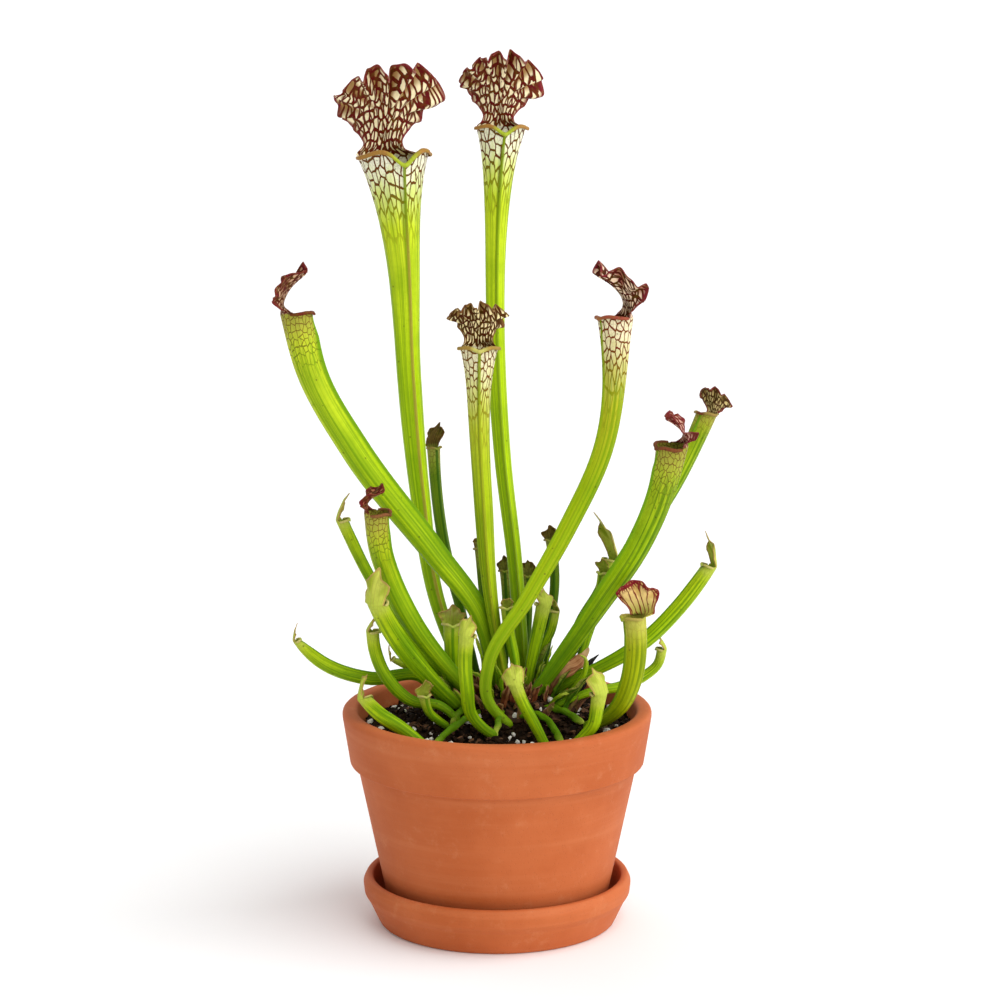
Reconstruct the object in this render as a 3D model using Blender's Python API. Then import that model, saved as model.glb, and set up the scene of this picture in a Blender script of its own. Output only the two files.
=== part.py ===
"""A trumpet pitcher plant in a terracotta pot on its saucer.

Lengths are in millimetres until a mesh is finished. The object stands on z = 0, with the
pot's axis on the Z axis and +Z up.
"""
import math

import bmesh
import bpy
from mathutils import Matrix, Vector

MM = 0.001
GAP = 0.3                # clearance between solids that rest on each other
ROUND_STEPS = 40         # sides of the turned pieces

# Saucer
SAUCER_HEIGHT = 25
SAUCER_RADIUS = 69.3
SAUCER_BASE_RADIUS = 61
SAUCER_FLOOR = 6
SAUCER_WALL = 5

# Pot
POT_HEIGHT = 106.7
POT_BASE_RADIUS = 55.6
POT_TAPER = 0.2104       # growth of the outer radius for each unit of height
POT_WALL = 7
BAND_BOTTOM = 77.5       # height of the rim band's lower edge above the pot's base
BAND_STEP = 3.4          # how far the band stands out from the wall
RIM_RADIUS = 80
RIM_INNER_RADIUS = 71.7
DRAIN_RADIUS = 9
POT_BASE = SAUCER_FLOOR + GAP
RIM_TOP = POT_BASE + POT_HEIGHT

# Soil and rhizome
SOIL_EDGE = 102.5        # height of the soil at the pot's wall
SOIL_CROWN = 108         # height of the soil under the rhizome
SOIL_RINGS = 9
SOIL_SIDES = 48
CROWN_CENTRE = (4, 12)
CROWN_HALF = (38, 30)    # half length and half width of the rhizome
CROWN_HEIGHT = 12.5
CROWN_BANK = 0.8         # how far the soil slopes down, in half widths of the rhizome

# Pitchers
WALL = 1.1               # thickness of a large pitcher's wall
SMALL_WALL = 0.8
SMALL_MOUTH = 11         # a narrower mouth belongs to a small pitcher
HOOD_REACH = 0.7         # how far a hood leans over its mouth, of its height
HOOD_CURL = 0.5          # how far a hood's neck curls round the mouth, of its half width
HOOD_SWEEP = 0.85        # how far a hood's side lobes are swept back, of its half width
HOOD_NECK = 0.37         # width of a hood's neck, of the hood's width

# Each leaf: the points that its middle line passes through, from its foot, which is seated on
# the soil or the rhizome, to the middle of its mouth; its widths at foot, tube and mouth; the
# length over which it flares to the mouth; the direction that the mouth faces, in degrees from
# +X towards +Y; and the width and height of its hood.
LEAVES = {
    "tall_left_pitcher": dict(
        spine=[(-13, 16), (-31, 20, 164), (-40, 24, 222), (-45, 28, 278), (-48, 31, 340), (-52, 34, 392)],
        widths=(7, 11, 33), flare=38, faces=-70, hood=(52, 45)),
    "tall_right_pitcher": dict(
        spine=[(14, 27), (9, 29, 184), (3, 34, 235), (-1, 42, 318), (0, 46, 369), (2, 49, 405)],
        widths=(7, 9, 25), flare=26, faces=-80, hood=(42, 36)),
    "left_arching_pitcher": dict(
        spine=[(-1, 11), (-10, 5, 161), (-33, 0, 194), (-72, -8, 248), (-94, -12, 290), (-100, -14, 318)],
        widths=(7, 13, 16), flare=20, faces=-8, hood=(24, 22)),
    "centre_pitcher": dict(
        spine=[(6, 1), (-3, 0, 169), (-7, -6, 222), (-9, -11, 264), (-9, -14, 301)],
        widths=(5, 9.5, 19), flare=17, faces=-88, hood=(29, 21)),
    "right_arching_pitcher": dict(
        spine=[(8, -20), (-5, -19, 123), (-4, -17, 139), (16, -8, 172), (36, 2, 206), (54, 9, 245),
               (60, 13, 312)],
        widths=(5, 9, 18), flare=26, faces=-150, hood=(30, 27)),
    "right_front_pitcher": dict(
        spine=[(18, 1), (40, -5, 150), (53, -10, 171), (72, -18, 203), (82, -25, 229), (87, -34, 255)],
        widths=(7, 12, 16), flare=22, faces=-150, hood=(19, 17)),
    "right_back_pitcher": dict(
        spine=[(23, 12), (40, 15, 146), (54, 14, 168), (73, 14, 199), (92, 16, 230), (107, 19, 262)],
        widths=(6, 9, 11.5), flare=16, faces=-125, hood=(16, 14)),
    "left_middle_pitcher": dict(
        spine=[(-11, 1), (-29, -5, 139), (-43, -12, 160), (-55, -20, 187), (-59, -27, 203), (-60, -33, 221)],
        widths=(7, 11, 12.5), flare=12, faces=-20, hood=(15, 14)),
    "low_left_pitcher": dict(
        spine=[(-19, -6), (-34, -13, 131), (-46, -20, 147), (-55, -28, 163), (-60, -35, 175)],
        widths=(6.5, 10, 10.5), flare=10, faces=55, hood=(15, 11)),
    "far_left_pitcher": dict(
        spine=[(-20, 15), (-41, 13, 141), (-54, 11, 159), (-68, 9, 184), (-79, 7, 209)],
        widths=(4, 5.5, 7), flare=8, faces=-10, hood=(8, 10)),
    "back_left_pitcher": dict(
        spine=[(-9, 33), (-19, 35, 156), (-28, 39, 192), (-32, 43, 223), (-33, 45, 240)],
        widths=(4, 6, 7), flare=10, faces=-60, hood=(10, 11)),
    "upright_left_pitcher": dict(
        spine=[(-18, 7), (-22, 8, 131), (-23, 7, 143), (-23, 7, 155)],
        widths=(5, 8, 9.5), flare=8, faces=-85, hood=(14, 8)),
    "rising_left_pitcher": dict(
        spine=[(-18, -15), (-29, -14, 117), (-43, -13, 119), (-56, -16, 132), (-62, -18, 147), (-63, -19, 157)],
        widths=(4, 6.3, 6.6), flare=8, faces=-10, hood=(7, 6)),
    "trailing_left_pitcher": dict(
        spine=[(-27, 3), (-40, 0, 129), (-65, -3, 128.5), (-88, -7, 137), (-102, -10, 150)],
        widths=(5, 7, 5), flare=10, faces=0, hood=(5, 6)),
    "lying_left_pitcher": dict(
        spine=[(-34, -42), (-46, -41, 111), (-59, -35, 118), (-67, -27, 124)],
        widths=(5, 7.5, 8), flare=8, faces=35, hood=(12, 9)),
    "tiny_left_pitcher": dict(
        spine=[(-24, -17), (-30, -20, 111), (-34, -22, 115), (-37, -24, 125)],
        widths=(4, 4.5, 6), flare=5, faces=-70, hood=(10, 7)),
    "front_pitcher": dict(
        spine=[(0, -29), (-7, -32, 110), (-13, -35, 118), (-15, -39, 132), (-16, -41, 148), (-15, -42, 160)],
        widths=(5, 7, 8), flare=8, faces=60, hood=(10, 8)),
    "front_right_pitcher": dict(
        spine=[(25, -39), (18, -41, 116), (13, -43, 126), (9, -44, 136)],
        widths=(5, 6, 8), flare=6, faces=100, hood=(12, 8)),
    "small_right_pitcher": dict(
        spine=[(34, -43), (43, -45, 109), (48, -46, 115), (50, -46, 124), (51, -46, 131)],
        widths=(4, 6.5, 8), flare=6, faces=130, hood=(13, 10)),
    "hooded_right_pitcher": dict(
        spine=[(44, -13), (55, -20, 112), (63, -24, 121), (68, -26, 134), (70, -26, 149), (70, -26, 161)],
        widths=(6, 10, 11.5), flare=10, faces=-145, hood=(22, 21)),
    "far_right_pitcher": dict(
        spine=[(28, 10), (38, 7, 125), (53, 6, 132), (76, 7, 146), (94, 9, 164), (109, 12, 184)],
        widths=(5, 8, 9), flare=10, faces=-165, hood=(11, 12)),
    "curling_right_pitcher": dict(
        spine=[(29, -4), (48, -2, 121), (64, 6, 122), (76, 11, 126), (83, 13, 132), (85, 13, 140)],
        widths=(3.5, 4.8, 5.2), flare=6, faces=180, hood=(7, 6)),
    "back_middle_pitcher": dict(
        spine=[(22, 30), (27, 32, 146), (30, 36, 172), (28, 40, 192)],
        widths=(4, 5, 6), flare=8, faces=-100, hood=(9, 6)),
    "back_right_pitcher": dict(
        spine=[(32, 24), (44, 31, 151), (54, 35, 167), (59, 37, 182)],
        widths=(4, 6, 7.5), flare=8, faces=-150, hood=(13, 18)),
    "slim_right_pitcher": dict(
        spine=[(37, 12), (46, 20, 143), (52, 23, 162), (55, 24, 178)],
        widths=(3.5, 5, 6), flare=7, faces=-120, hood=(9, 6)),
    "inner_pitcher": dict(
        spine=[(11, -3), (9, -2, 138), (6, -2, 154), (5, -3, 166)],
        widths=(4, 5.5, 6.3), flare=8, faces=-90, hood=(7, 4)),
    "inner_right_pitcher": dict(
        spine=[(15, 11), (19, 13, 140), (22, 14, 154), (24, 15, 163)],
        widths=(5, 6.5, 8), flare=8, faces=115, hood=(10.5, 6.5)),
    "inner_slim_pitcher": dict(
        spine=[(19, 21), (25, 21, 141), (28, 21, 148), (30, 22, 158)],
        widths=(3.5, 4.5, 5), flare=6, faces=-150, hood=(6, 5)),
    "back_pale_pitcher": dict(
        spine=[(12, 38), (16, 40, 149), (16, 44, 172)],
        widths=(3.5, 4.5, 6), flare=8, faces=-90, hood=(8, 7)),
    "back_dark_pitcher": dict(
        spine=[(3, 36), (5, 42, 154), (4, 47, 174)],
        widths=(3.5, 4.5, 5.5), flare=8, faces=-90, hood=(8, 6)),
    "back_slim_pitcher": dict(
        spine=[(-1, 26), (-7, 29, 163), (-9, 32, 189)],
        widths=(3.5, 4.5, 5.5), flare=8, faces=-90, hood=(7, 6)),
    "hooked_leaf": dict(
        spine=[(33, 3), (41, -1, 125), (45, -2, 132), (45, -2, 139), (42, -3, 141)],
        widths=(2.5, 3, 1.5), flare=5, faces=180),
    "pale_right_pitcher": dict(
        spine=[(31, 16), (33, 17, 126), (36, 19, 132)],
        widths=(3, 4, 5), flare=5, faces=-120, hood=(5, 3)),
    "wedge_leaf": dict(
        spine=[(-26, 20), (-41, 16, 128), (-54, 15, 134)],
        widths=(3.5, 5, 5), flare=6, faces=0, hood=(5, 5)),
    "dried_leaf": dict(
        spine=[(27, 4), (33, 2, 130), (42, 6, 135), (47, 9, 142)],
        widths=(3, 8, 4), flare=6, faces=90, flat=0.3),
    "dead_leaf": dict(
        spine=[(42, 34), (46, 36, 118), (49, 38, 127), (53, 38, 131)],
        widths=(4, 6, 4), flare=5, faces=180, flat=0.5),
}

TERRACOTTA = (0.62, 0.22, 0.085)
PEAT = (0.016, 0.010, 0.007)
BARK = (0.10, 0.045, 0.02)
LEAF_GREEN = (0.30, 0.47, 0.03)
YOUNG_GREEN = (0.40, 0.52, 0.06)
DRY_BROWN = (0.42, 0.19, 0.08)
DEAD_BROWN = (0.02, 0.014, 0.01)


def make_material(name, colour, roughness):
    material = bpy.data.materials.new(name)
    material.use_nodes = True
    shader = material.node_tree.nodes["Principled BSDF"]
    shader.inputs["Base Color"].default_value = (*colour, 1)
    shader.inputs["Roughness"].default_value = roughness
    shader.inputs["Metallic"].default_value = 0
    return material


def make_object(name, bm, material, sharp=40):
    """Turn a closed mesh in millimetres into a smooth shaded object in metres."""
    bmesh.ops.recalc_face_normals(bm, faces=bm.faces)
    bmesh.ops.scale(bm, vec=Vector((MM, MM, MM)), verts=bm.verts)
    mesh = bpy.data.meshes.new(name)
    bm.to_mesh(mesh)
    bm.free()
    mesh.shade_smooth()
    mesh.set_sharp_from_angle(angle=math.radians(sharp))
    mesh.materials.append(material)
    thing = bpy.data.objects.new(name, mesh)
    bpy.context.collection.objects.link(thing)
    return thing


def turn(name, profile, material, closed):
    """Spin a profile of (radius, height) points round the Z axis."""
    bm = bmesh.new()
    verts = [bm.verts.new((radius, 0, height)) for radius, height in profile]
    edges = [bm.edges.new(pair) for pair in zip(verts, verts[1:])]
    if closed:
        edges.append(bm.edges.new((verts[-1], verts[0])))
    bmesh.ops.spin(bm, geom=verts + edges, cent=(0, 0, 0), axis=(0, 0, 1),
                   angle=math.tau, steps=ROUND_STEPS, use_merge=True)
    bmesh.ops.remove_doubles(bm, verts=bm.verts, dist=0.001)
    return make_object(name, bm, material)


def make_saucer(material):
    lip = SAUCER_RADIUS - SAUCER_WALL
    profile = [
        (0, SAUCER_FLOOR), (lip - 5, SAUCER_FLOOR), (lip - 3.2, SAUCER_FLOOR + 2),
        (lip - 0.3, SAUCER_HEIGHT - 3), (lip + 0.5, SAUCER_HEIGHT - 0.8),
        (lip + 2, SAUCER_HEIGHT), (SAUCER_RADIUS - 1.2, SAUCER_HEIGHT - 0.8),
        (SAUCER_RADIUS - 0.1, SAUCER_HEIGHT - 3.2), (SAUCER_RADIUS - 0.2, SAUCER_HEIGHT - 8),
        (SAUCER_RADIUS - 2.4, SAUCER_HEIGHT - 12.5), (SAUCER_BASE_RADIUS + 1.2, 2.5),
        (SAUCER_BASE_RADIUS - 0.6, 0.6), (SAUCER_BASE_RADIUS - 3, 0), (0, 0),
    ]
    return turn("saucer", profile, material, closed=False)


def pot_radius(height):
    """Outer radius of the tapered wall at a height above the pot's base."""
    return POT_BASE_RADIUS + POT_TAPER * height


def make_pot(material):
    floor = POT_WALL
    shoulder = BAND_BOTTOM + 6     # where the wall inside thickens into the band
    profile = [
        (pot_radius(0) - 2, 0), (pot_radius(0) - 0.5, 0.6), (pot_radius(2), 2),
        (pot_radius(BAND_BOTTOM - 1), BAND_BOTTOM - 1),
        (pot_radius(BAND_BOTTOM) + BAND_STEP - 0.5, BAND_BOTTOM + 1),
        (pot_radius(BAND_BOTTOM) + BAND_STEP + 0.4, BAND_BOTTOM + 3),
        (RIM_RADIUS, POT_HEIGHT - 3.6), (RIM_RADIUS - 0.8, POT_HEIGHT - 1.3),
        (RIM_RADIUS - 2.6, POT_HEIGHT), (RIM_INNER_RADIUS + 2.4, POT_HEIGHT),
        (RIM_INNER_RADIUS + 0.6, POT_HEIGHT - 1), (RIM_INNER_RADIUS, POT_HEIGHT - 3),
        (pot_radius(shoulder) - POT_WALL + 2, shoulder), (pot_radius(shoulder) - POT_WALL, shoulder - 8),
        (pot_radius(floor + 4) - POT_WALL, floor + 4), (pot_radius(floor) - POT_WALL - 3, floor),
        (DRAIN_RADIUS, floor), (DRAIN_RADIUS, 0),
    ]
    raised = [(radius, height + POT_BASE) for radius, height in profile]
    return turn("pot", raised, material, closed=True)


def crown_distance(x, y):
    """Distance from the middle of the rhizome, 1 at its edge."""
    return math.hypot((x - CROWN_CENTRE[0]) / CROWN_HALF[0], (y - CROWN_CENTRE[1]) / CROWN_HALF[1])


def soil_height(x, y):
    t = min(max((crown_distance(x, y) - 1) / CROWN_BANK, 0), 1)
    return SOIL_CROWN - (SOIL_CROWN - SOIL_EDGE) * t * t * (3 - 2 * t)


def ground_height(x, y):
    """Height of the soil, or of the rhizome where that lies on it."""
    d = crown_distance(x, y)
    if d >= 1:
        return soil_height(x, y)
    return SOIL_CROWN + GAP + CROWN_HEIGHT * math.sqrt(1 - d * d)


def make_soil(material):
    """The soil fills the pot to a mound, and keeps clear of the pot's wall."""
    floor = POT_BASE + POT_WALL
    shoulder = POT_BASE + BAND_BOTTOM - 2
    walls = [
        (pot_radius(POT_WALL) - POT_WALL - 3.6, floor + GAP),
        (pot_radius(POT_WALL + 4) - POT_WALL - 0.5, floor + 4 + GAP),
        (pot_radius(BAND_BOTTOM - 2) - POT_WALL - 0.6, shoulder),
        (RIM_INNER_RADIUS - 2.1, SOIL_EDGE),
    ]
    bm = bmesh.new()
    bmesh.ops.create_circle(bm, cap_ends=True, segments=SOIL_SIDES, radius=walls[0][0],
                            matrix=Matrix.Translation((0, 0, walls[0][1])))
    top = bm.faces[:]
    for radius, height in walls[1:]:
        top = grow(bm, top, lambda old, r=radius, h=height: Vector((old.x, old.y, 0)).normalized() * r
                   + Vector((0, 0, h)))
    outer = walls[-1][0]
    for ring in range(1, SOIL_RINGS + 1):
        radius = outer * (1 - ring / (SOIL_RINGS + 0.6))
        top = grow(bm, top, lambda old, r=radius: on_soil(Vector((old.x, old.y, 0)).normalized() * r))
    return make_object("soil", bm, material)


def on_soil(point):
    return Vector((point.x, point.y, soil_height(point.x, point.y)))


def make_rhizome(material):
    """A low knobbly dome, flat underneath."""
    sides, rings = 28, 5
    bm = bmesh.new()
    bmesh.ops.create_circle(bm, cap_ends=True, segments=sides, radius=1)
    top = bm.faces[:]
    for ring in range(1, rings + 1):
        slope = math.radians(90 * ring / (rings + 0.4))
        top = grow(bm, top, lambda old, a=slope: Vector((old.x, old.y, 0)).normalized() * math.cos(a)
                   + Vector((0, 0, math.sin(a))))
    bmesh.ops.scale(bm, vec=Vector((*CROWN_HALF, CROWN_HEIGHT)), verts=bm.verts)
    bmesh.ops.translate(bm, vec=Vector((*CROWN_CENTRE, SOIL_CROWN + GAP)), verts=bm.verts)
    return make_object("rhizome", bm, material)


def grow(bm, faces, place):
    """Extrude faces, move each new vertex to place(its old position), and return the new faces."""
    edges = list({edge for face in faces for edge in face.edges})
    made = bmesh.ops.extrude_face_region(bm, geom=faces + edges)["geom"]
    for item in made:
        if isinstance(item, bmesh.types.BMVert):
            item.co = place(item.co.copy())
    return [item for item in made if isinstance(item, bmesh.types.BMFace)]


def smooth_line(points, count):
    """Points along a smooth curve through the given ones, closer together near both ends."""
    steps = [0]
    for a, b in zip(points, points[1:]):
        steps.append(steps[-1] + (b - a).length)
    slopes = [None] * len(points)
    for i in range(1, len(points) - 1):
        before = (points[i] - points[i - 1]) / (steps[i] - steps[i - 1])
        after = (points[i + 1] - points[i]) / (steps[i + 1] - steps[i])
        share = (steps[i + 1] - steps[i]) / (steps[i + 1] - steps[i - 1])
        slopes[i] = before * share + after * (1 - share)
    slopes[0] = 1.5 * (points[1] - points[0]) / steps[1] - 0.5 * slopes[1]
    last = (points[-1] - points[-2]) / (steps[-1] - steps[-2])
    slopes[-1] = 1.5 * last - 0.5 * slopes[-2]
    line = []
    for n in range(count):
        t = n / (count - 1)
        t = 0.5 * t + 0.25 * (1 - math.cos(math.pi * t))
        at = t * steps[-1]
        i = max(k for k in range(len(points) - 1) if steps[k] <= at + 1e-9)
        span = steps[i + 1] - steps[i]
        u = (at - steps[i]) / span
        line.append((2 * u**3 - 3 * u**2 + 1) * points[i] + (u**3 - 2 * u**2 + u) * span * slopes[i]
                    + (3 * u**2 - 2 * u**3) * points[i + 1] + (u**3 - u**2) * span * slopes[i + 1])
    return line


def carry_frames(line, faces):
    """The way along, the front and the side at each point, with no twist from the mouth down."""
    along = [(line[min(i + 1, len(line) - 1)] - line[max(i - 1, 0)]).normalized()
             for i in range(len(line))]
    front = Vector((math.cos(math.radians(faces)), math.sin(math.radians(faces)), 0.25))
    frames = [None] * len(line)
    for i in reversed(range(len(line))):
        front = (front - front.dot(along[i]) * along[i]).normalized()
        frames[i] = (along[i], front, along[i].cross(front))
    return frames


def leaf_radii(line, widths, flare):
    """Half widths: slim at the foot, then the tube, then the flare to the mouth."""
    foot, tube, mouth = widths
    lengths = [0]
    for a, b in zip(line, line[1:]):
        lengths.append(lengths[-1] + (b - a).length)
    radii = []
    for s in lengths:
        t = min(s / lengths[-1] / 0.6, 1)
        width = foot + (tube - foot) * t * t * (3 - 2 * t)
        radii.append((width + (mouth - tube) * math.exp((s - lengths[-1]) / flare)) / 2)
    return radii


def ring_points(centre, frame, radius, sides, flat):
    """A ring that starts at the back of the leaf."""
    along, front, side = frame
    ring = []
    for i in range(sides):
        angle = math.tau * i / sides
        ring.append(centre - front * radius * flat * math.cos(angle) + side * radius * math.sin(angle))
    return ring


def seat_foot(leaf, count, sides):
    """The leaf's line, with its foot raised or lowered until it clears the ground by the gap."""
    foot = leaf["spine"][0]
    points = [Vector((*foot, ground_height(*foot) + GAP))] + [Vector(p) for p in leaf["spine"][1:]]
    for _ in range(6):
        line = smooth_line(points, count)
        frames = carry_frames(line, leaf["faces"])
        radii = leaf_radii(line, leaf["widths"], leaf["flare"])
        ring = ring_points(line[0], frames[0], radii[0], sides, leaf.get("flat", 1))
        points[0].z += GAP - min(p.z - ground_height(p.x, p.y) for p in ring)
    return line, frames, radii


def grow_rings(bm, top, rings):
    """Extrude the top face from ring to ring. Each ring has the same number of points."""
    labels = {}
    for vert in top[0].verts:
        labels[vert.co.to_tuple(6)] = min(range(len(rings[0])), key=lambda i: (rings[0][i] - vert.co).length)
    for ring in rings[1:]:
        before = dict(labels)
        top = grow(bm, top, lambda old: ring[before[old.to_tuple(6)]])
        labels = {vert.co.to_tuple(6): before_index(vert, ring) for vert in top[0].verts}
    return top


def before_index(vert, ring):
    return min(range(len(ring)), key=lambda i: (ring[i] - vert.co).length)


def mouth_dip(angle, radius):
    """The rim dips at the front, opposite the hood."""
    return -0.3 * radius * max(0, -math.cos(angle)) ** 3


def hood_half_width(v, start, hood_width):
    """From the back of the rim in to the neck, out to the lobes and in to the tip."""
    neck = HOOD_NECK * hood_width / 2
    if v < 0.2:
        return start + (neck - start) * math.sin(math.pi / 2 * v / 0.2)
    if v < 0.8:
        return neck + (hood_width / 2 - neck) * math.sin(math.pi / 2 * (v - 0.2) / 0.6)
    return hood_width / 2 * (1 - 0.3 * ((v - 0.8) / 0.2) ** 2)


def hood_point(u, v, mouth, frame, radius, hood, layer):
    """A point of the hood: u across from -1 to 1, v up from 0 to 1, layer -1 behind, 1 in front."""
    along, front, side = frame
    up = (along + Vector((0, 0, 1.5))).normalized()
    width, height = hood
    half = hood_half_width(v, 0.9 * radius, width)
    t = min(max((v - 0.1) / 0.5, 0), 1)
    bend = HOOD_CURL - (HOOD_CURL + HOOD_SWEEP) * t * t * (3 - 2 * t)
    forward = HOOD_REACH * height * v**1.8 + bend * half * u * u
    rise = height * v**0.9 - 0.1 * t * half * u * u
    slope = math.atan2(1.8 * HOOD_REACH * v**0.8, 1)
    normal = front * math.cos(slope) - up * math.sin(slope)
    middle = mouth - front * radius + front * forward + up * rise + side * half * u
    return middle + normal * layer * 0.6


def make_pitcher(name, leaf, material):
    """One leaf: a tube with a hollow mouth, and a hood that stands on the back of its rim."""
    mouth_width = leaf["widths"][2]
    small = mouth_width < SMALL_MOUTH
    sides, count, hood_rows, hood_span = (6, 7, 3, 1) if small else (10, 13, 5, 2)
    wall = SMALL_WALL if small else WALL
    line, frames, radii = seat_foot(leaf, count, sides)
    flat = leaf.get("flat", 1)
    rings = [ring_points(p, f, r, sides, flat) for p, f, r in zip(line, frames, radii)]
    angles = [math.tau * i / sides for i in range(sides)]

    bm = bmesh.new()
    bm.faces.new([bm.verts.new(p) for p in rings[0]])
    if "hood" not in leaf:
        grow_rings(bm, bm.faces[:], rings)
        return make_object(name, bm, material)

    along = frames[-1][0]
    dips = [along * mouth_dip(a, radii[-1]) for a in angles]
    rings[-1] = [p + dip for p, dip in zip(rings[-1], dips)]
    lip = ring_points(line[-1] + along * wall * 0.6, frames[-1], radii[-1] + wall * 0.7, sides, flat)
    rings.append([p + dip for p, dip in zip(lip, dips)])
    inner = ring_points(line[-1] + along * wall * 0.6, frames[-1], radii[-1] - wall, sides, flat)
    rings.append([p + dip for p, dip in zip(inner, dips)])
    for i in (2, 3, 4) if small else (2, 3, 4, 5):
        rings.append(ring_points(line[-i], frames[-i], max(radii[-i] - wall, 0.8), sides, flat))
        if small:
            break
    grow_rings(bm, bm.faces[:], rings)

    # The rim's faces behind the mouth carry the hood
    bm.verts.ensure_lookup_table()
    labels = {}
    for layer, ring in ((-1, rings[count]), (1, rings[count + 1])):
        for step in range(-hood_span, hood_span + 1):
            labels[ring[step].to_tuple(4)] = (step / hood_span, layer)
    top = [f for f in bm.faces if len(f.verts) == 4 and all(v.co.to_tuple(4) in labels for v in f.verts)]
    for row in range(1, hood_rows + 1):
        v = row / hood_rows
        placed = {}

        def place(old):
            u, layer = labels[old.to_tuple(4)]
            point = hood_point(u, v, line[-1], frames[-1], radii[-1], leaf["hood"], layer)
            placed[point.to_tuple(4)] = (u, layer)
            return point

        top = grow(bm, top, place)
        labels = placed
    return make_object(name, bm, material)


def main():
    for thing in list(bpy.data.objects):
        bpy.data.objects.remove(thing, do_unlink=True)
    terracotta = make_material("terracotta", TERRACOTTA, 0.85)
    make_saucer(terracotta)
    make_pot(terracotta)
    make_soil(make_material("peat", PEAT, 0.95))
    make_rhizome(make_material("rhizome_bark", BARK, 0.9))
    leaf_green = make_material("leaf_green", LEAF_GREEN, 0.45)
    young_green = make_material("young_green", YOUNG_GREEN, 0.45)
    finishes = {"dried_leaf": make_material("dry_leaf", DRY_BROWN, 0.8),
                "dead_leaf": make_material("dead_leaf", DEAD_BROWN, 0.9)}
    for name, leaf in LEAVES.items():
        own = leaf_green if leaf["widths"][2] >= SMALL_MOUTH else young_green
        make_pitcher(name, leaf, finishes.get(name, own))


main()
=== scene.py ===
import json
import math
import random

import bpy
import numpy as np
from mathutils import Matrix, Vector, noise


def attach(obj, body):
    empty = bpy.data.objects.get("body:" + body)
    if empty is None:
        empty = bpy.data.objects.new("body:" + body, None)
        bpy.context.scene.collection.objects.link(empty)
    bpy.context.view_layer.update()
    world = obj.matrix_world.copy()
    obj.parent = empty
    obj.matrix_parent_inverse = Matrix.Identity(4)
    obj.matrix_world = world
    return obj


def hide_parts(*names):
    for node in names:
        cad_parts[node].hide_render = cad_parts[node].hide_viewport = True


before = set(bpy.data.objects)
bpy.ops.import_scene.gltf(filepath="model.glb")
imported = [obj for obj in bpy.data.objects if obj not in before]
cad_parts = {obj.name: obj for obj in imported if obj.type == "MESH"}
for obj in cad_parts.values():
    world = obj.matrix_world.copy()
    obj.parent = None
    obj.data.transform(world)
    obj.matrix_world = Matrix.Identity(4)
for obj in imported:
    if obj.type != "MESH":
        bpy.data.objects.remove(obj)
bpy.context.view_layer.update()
mm = 0.001
weldDistance = 0.000002
up = np.array([0.0, 0.0, 1.0])


# small helpers

def clearSelection():
    if bpy.context.object and bpy.context.object.mode != "OBJECT":
        bpy.ops.object.mode_set(mode="OBJECT")
    bpy.ops.object.select_all(action="DESELECT")


def named(name):
    piece = bpy.context.object
    piece.name = name
    piece.data.name = name
    return piece


def useModifier(piece, kind, **settings):
    clearSelection()
    piece.select_set(True)
    bpy.context.view_layer.objects.active = piece
    modifier = piece.modifiers.new(kind.title(), kind)
    for key, value in settings.items():
        setattr(modifier, key, value)
    bpy.ops.object.modifier_apply(modifier=modifier.name)


def finish(piece, material, slot, *nodes, angle=50):
    clearSelection()
    piece.select_set(True)
    bpy.context.view_layer.objects.active = piece
    bpy.ops.object.shade_smooth_by_angle(angle=math.radians(angle))
    piece.data.materials.clear()
    piece.data.materials.append(material)
    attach(piece, "root")
    if nodes:
        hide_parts(*nodes)
    return piece


def weld(piece):
    bpy.context.view_layer.objects.active = piece
    bpy.ops.object.mode_set(mode="EDIT")
    bpy.ops.mesh.select_mode(type="VERT")
    bpy.ops.mesh.select_all(action="SELECT")
    bpy.ops.mesh.remove_doubles(threshold=weldDistance)
    bpy.ops.mesh.normals_make_consistent(inside=False)
    bpy.ops.object.mode_set(mode="OBJECT")


def gridPiece(name, columns, rows):
    # a flat grid to roll up into a shape, with the column and the row of each vertex
    clearSelection()
    bpy.ops.mesh.primitive_grid_add(x_subdivisions=columns - 1, y_subdivisions=rows - 1, size=2)
    piece = named(name)
    place = np.zeros(len(piece.data.vertices) * 3)
    piece.data.vertices.foreach_get("co", place)
    share = (place.reshape(-1, 3) + 1) / 2
    column, row = share[:, 0] * (columns - 1), share[:, 1] * (rows - 1)
    return piece, np.rint(column).astype(int), np.rint(row).astype(int)


def moveVertices(piece, places):
    piece.data.vertices.foreach_set("co", (places * mm).astype(np.float32).ravel())
    piece.data.update()


def takeShape(piece):
    # the vertices and faces of a piece that is only copied from
    verts = np.array([v.co[:] for v in piece.data.vertices])
    faces = np.array([f.vertices[:] for f in piece.data.polygons])
    bpy.data.objects.remove(piece, do_unlink=True)
    return verts, faces


def smoothStep(x, low=0.0, high=1.0):
    t = np.clip((x - low) / (high - low), 0, 1)
    return t * t * (3 - 2 * t)


# shader building

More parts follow.
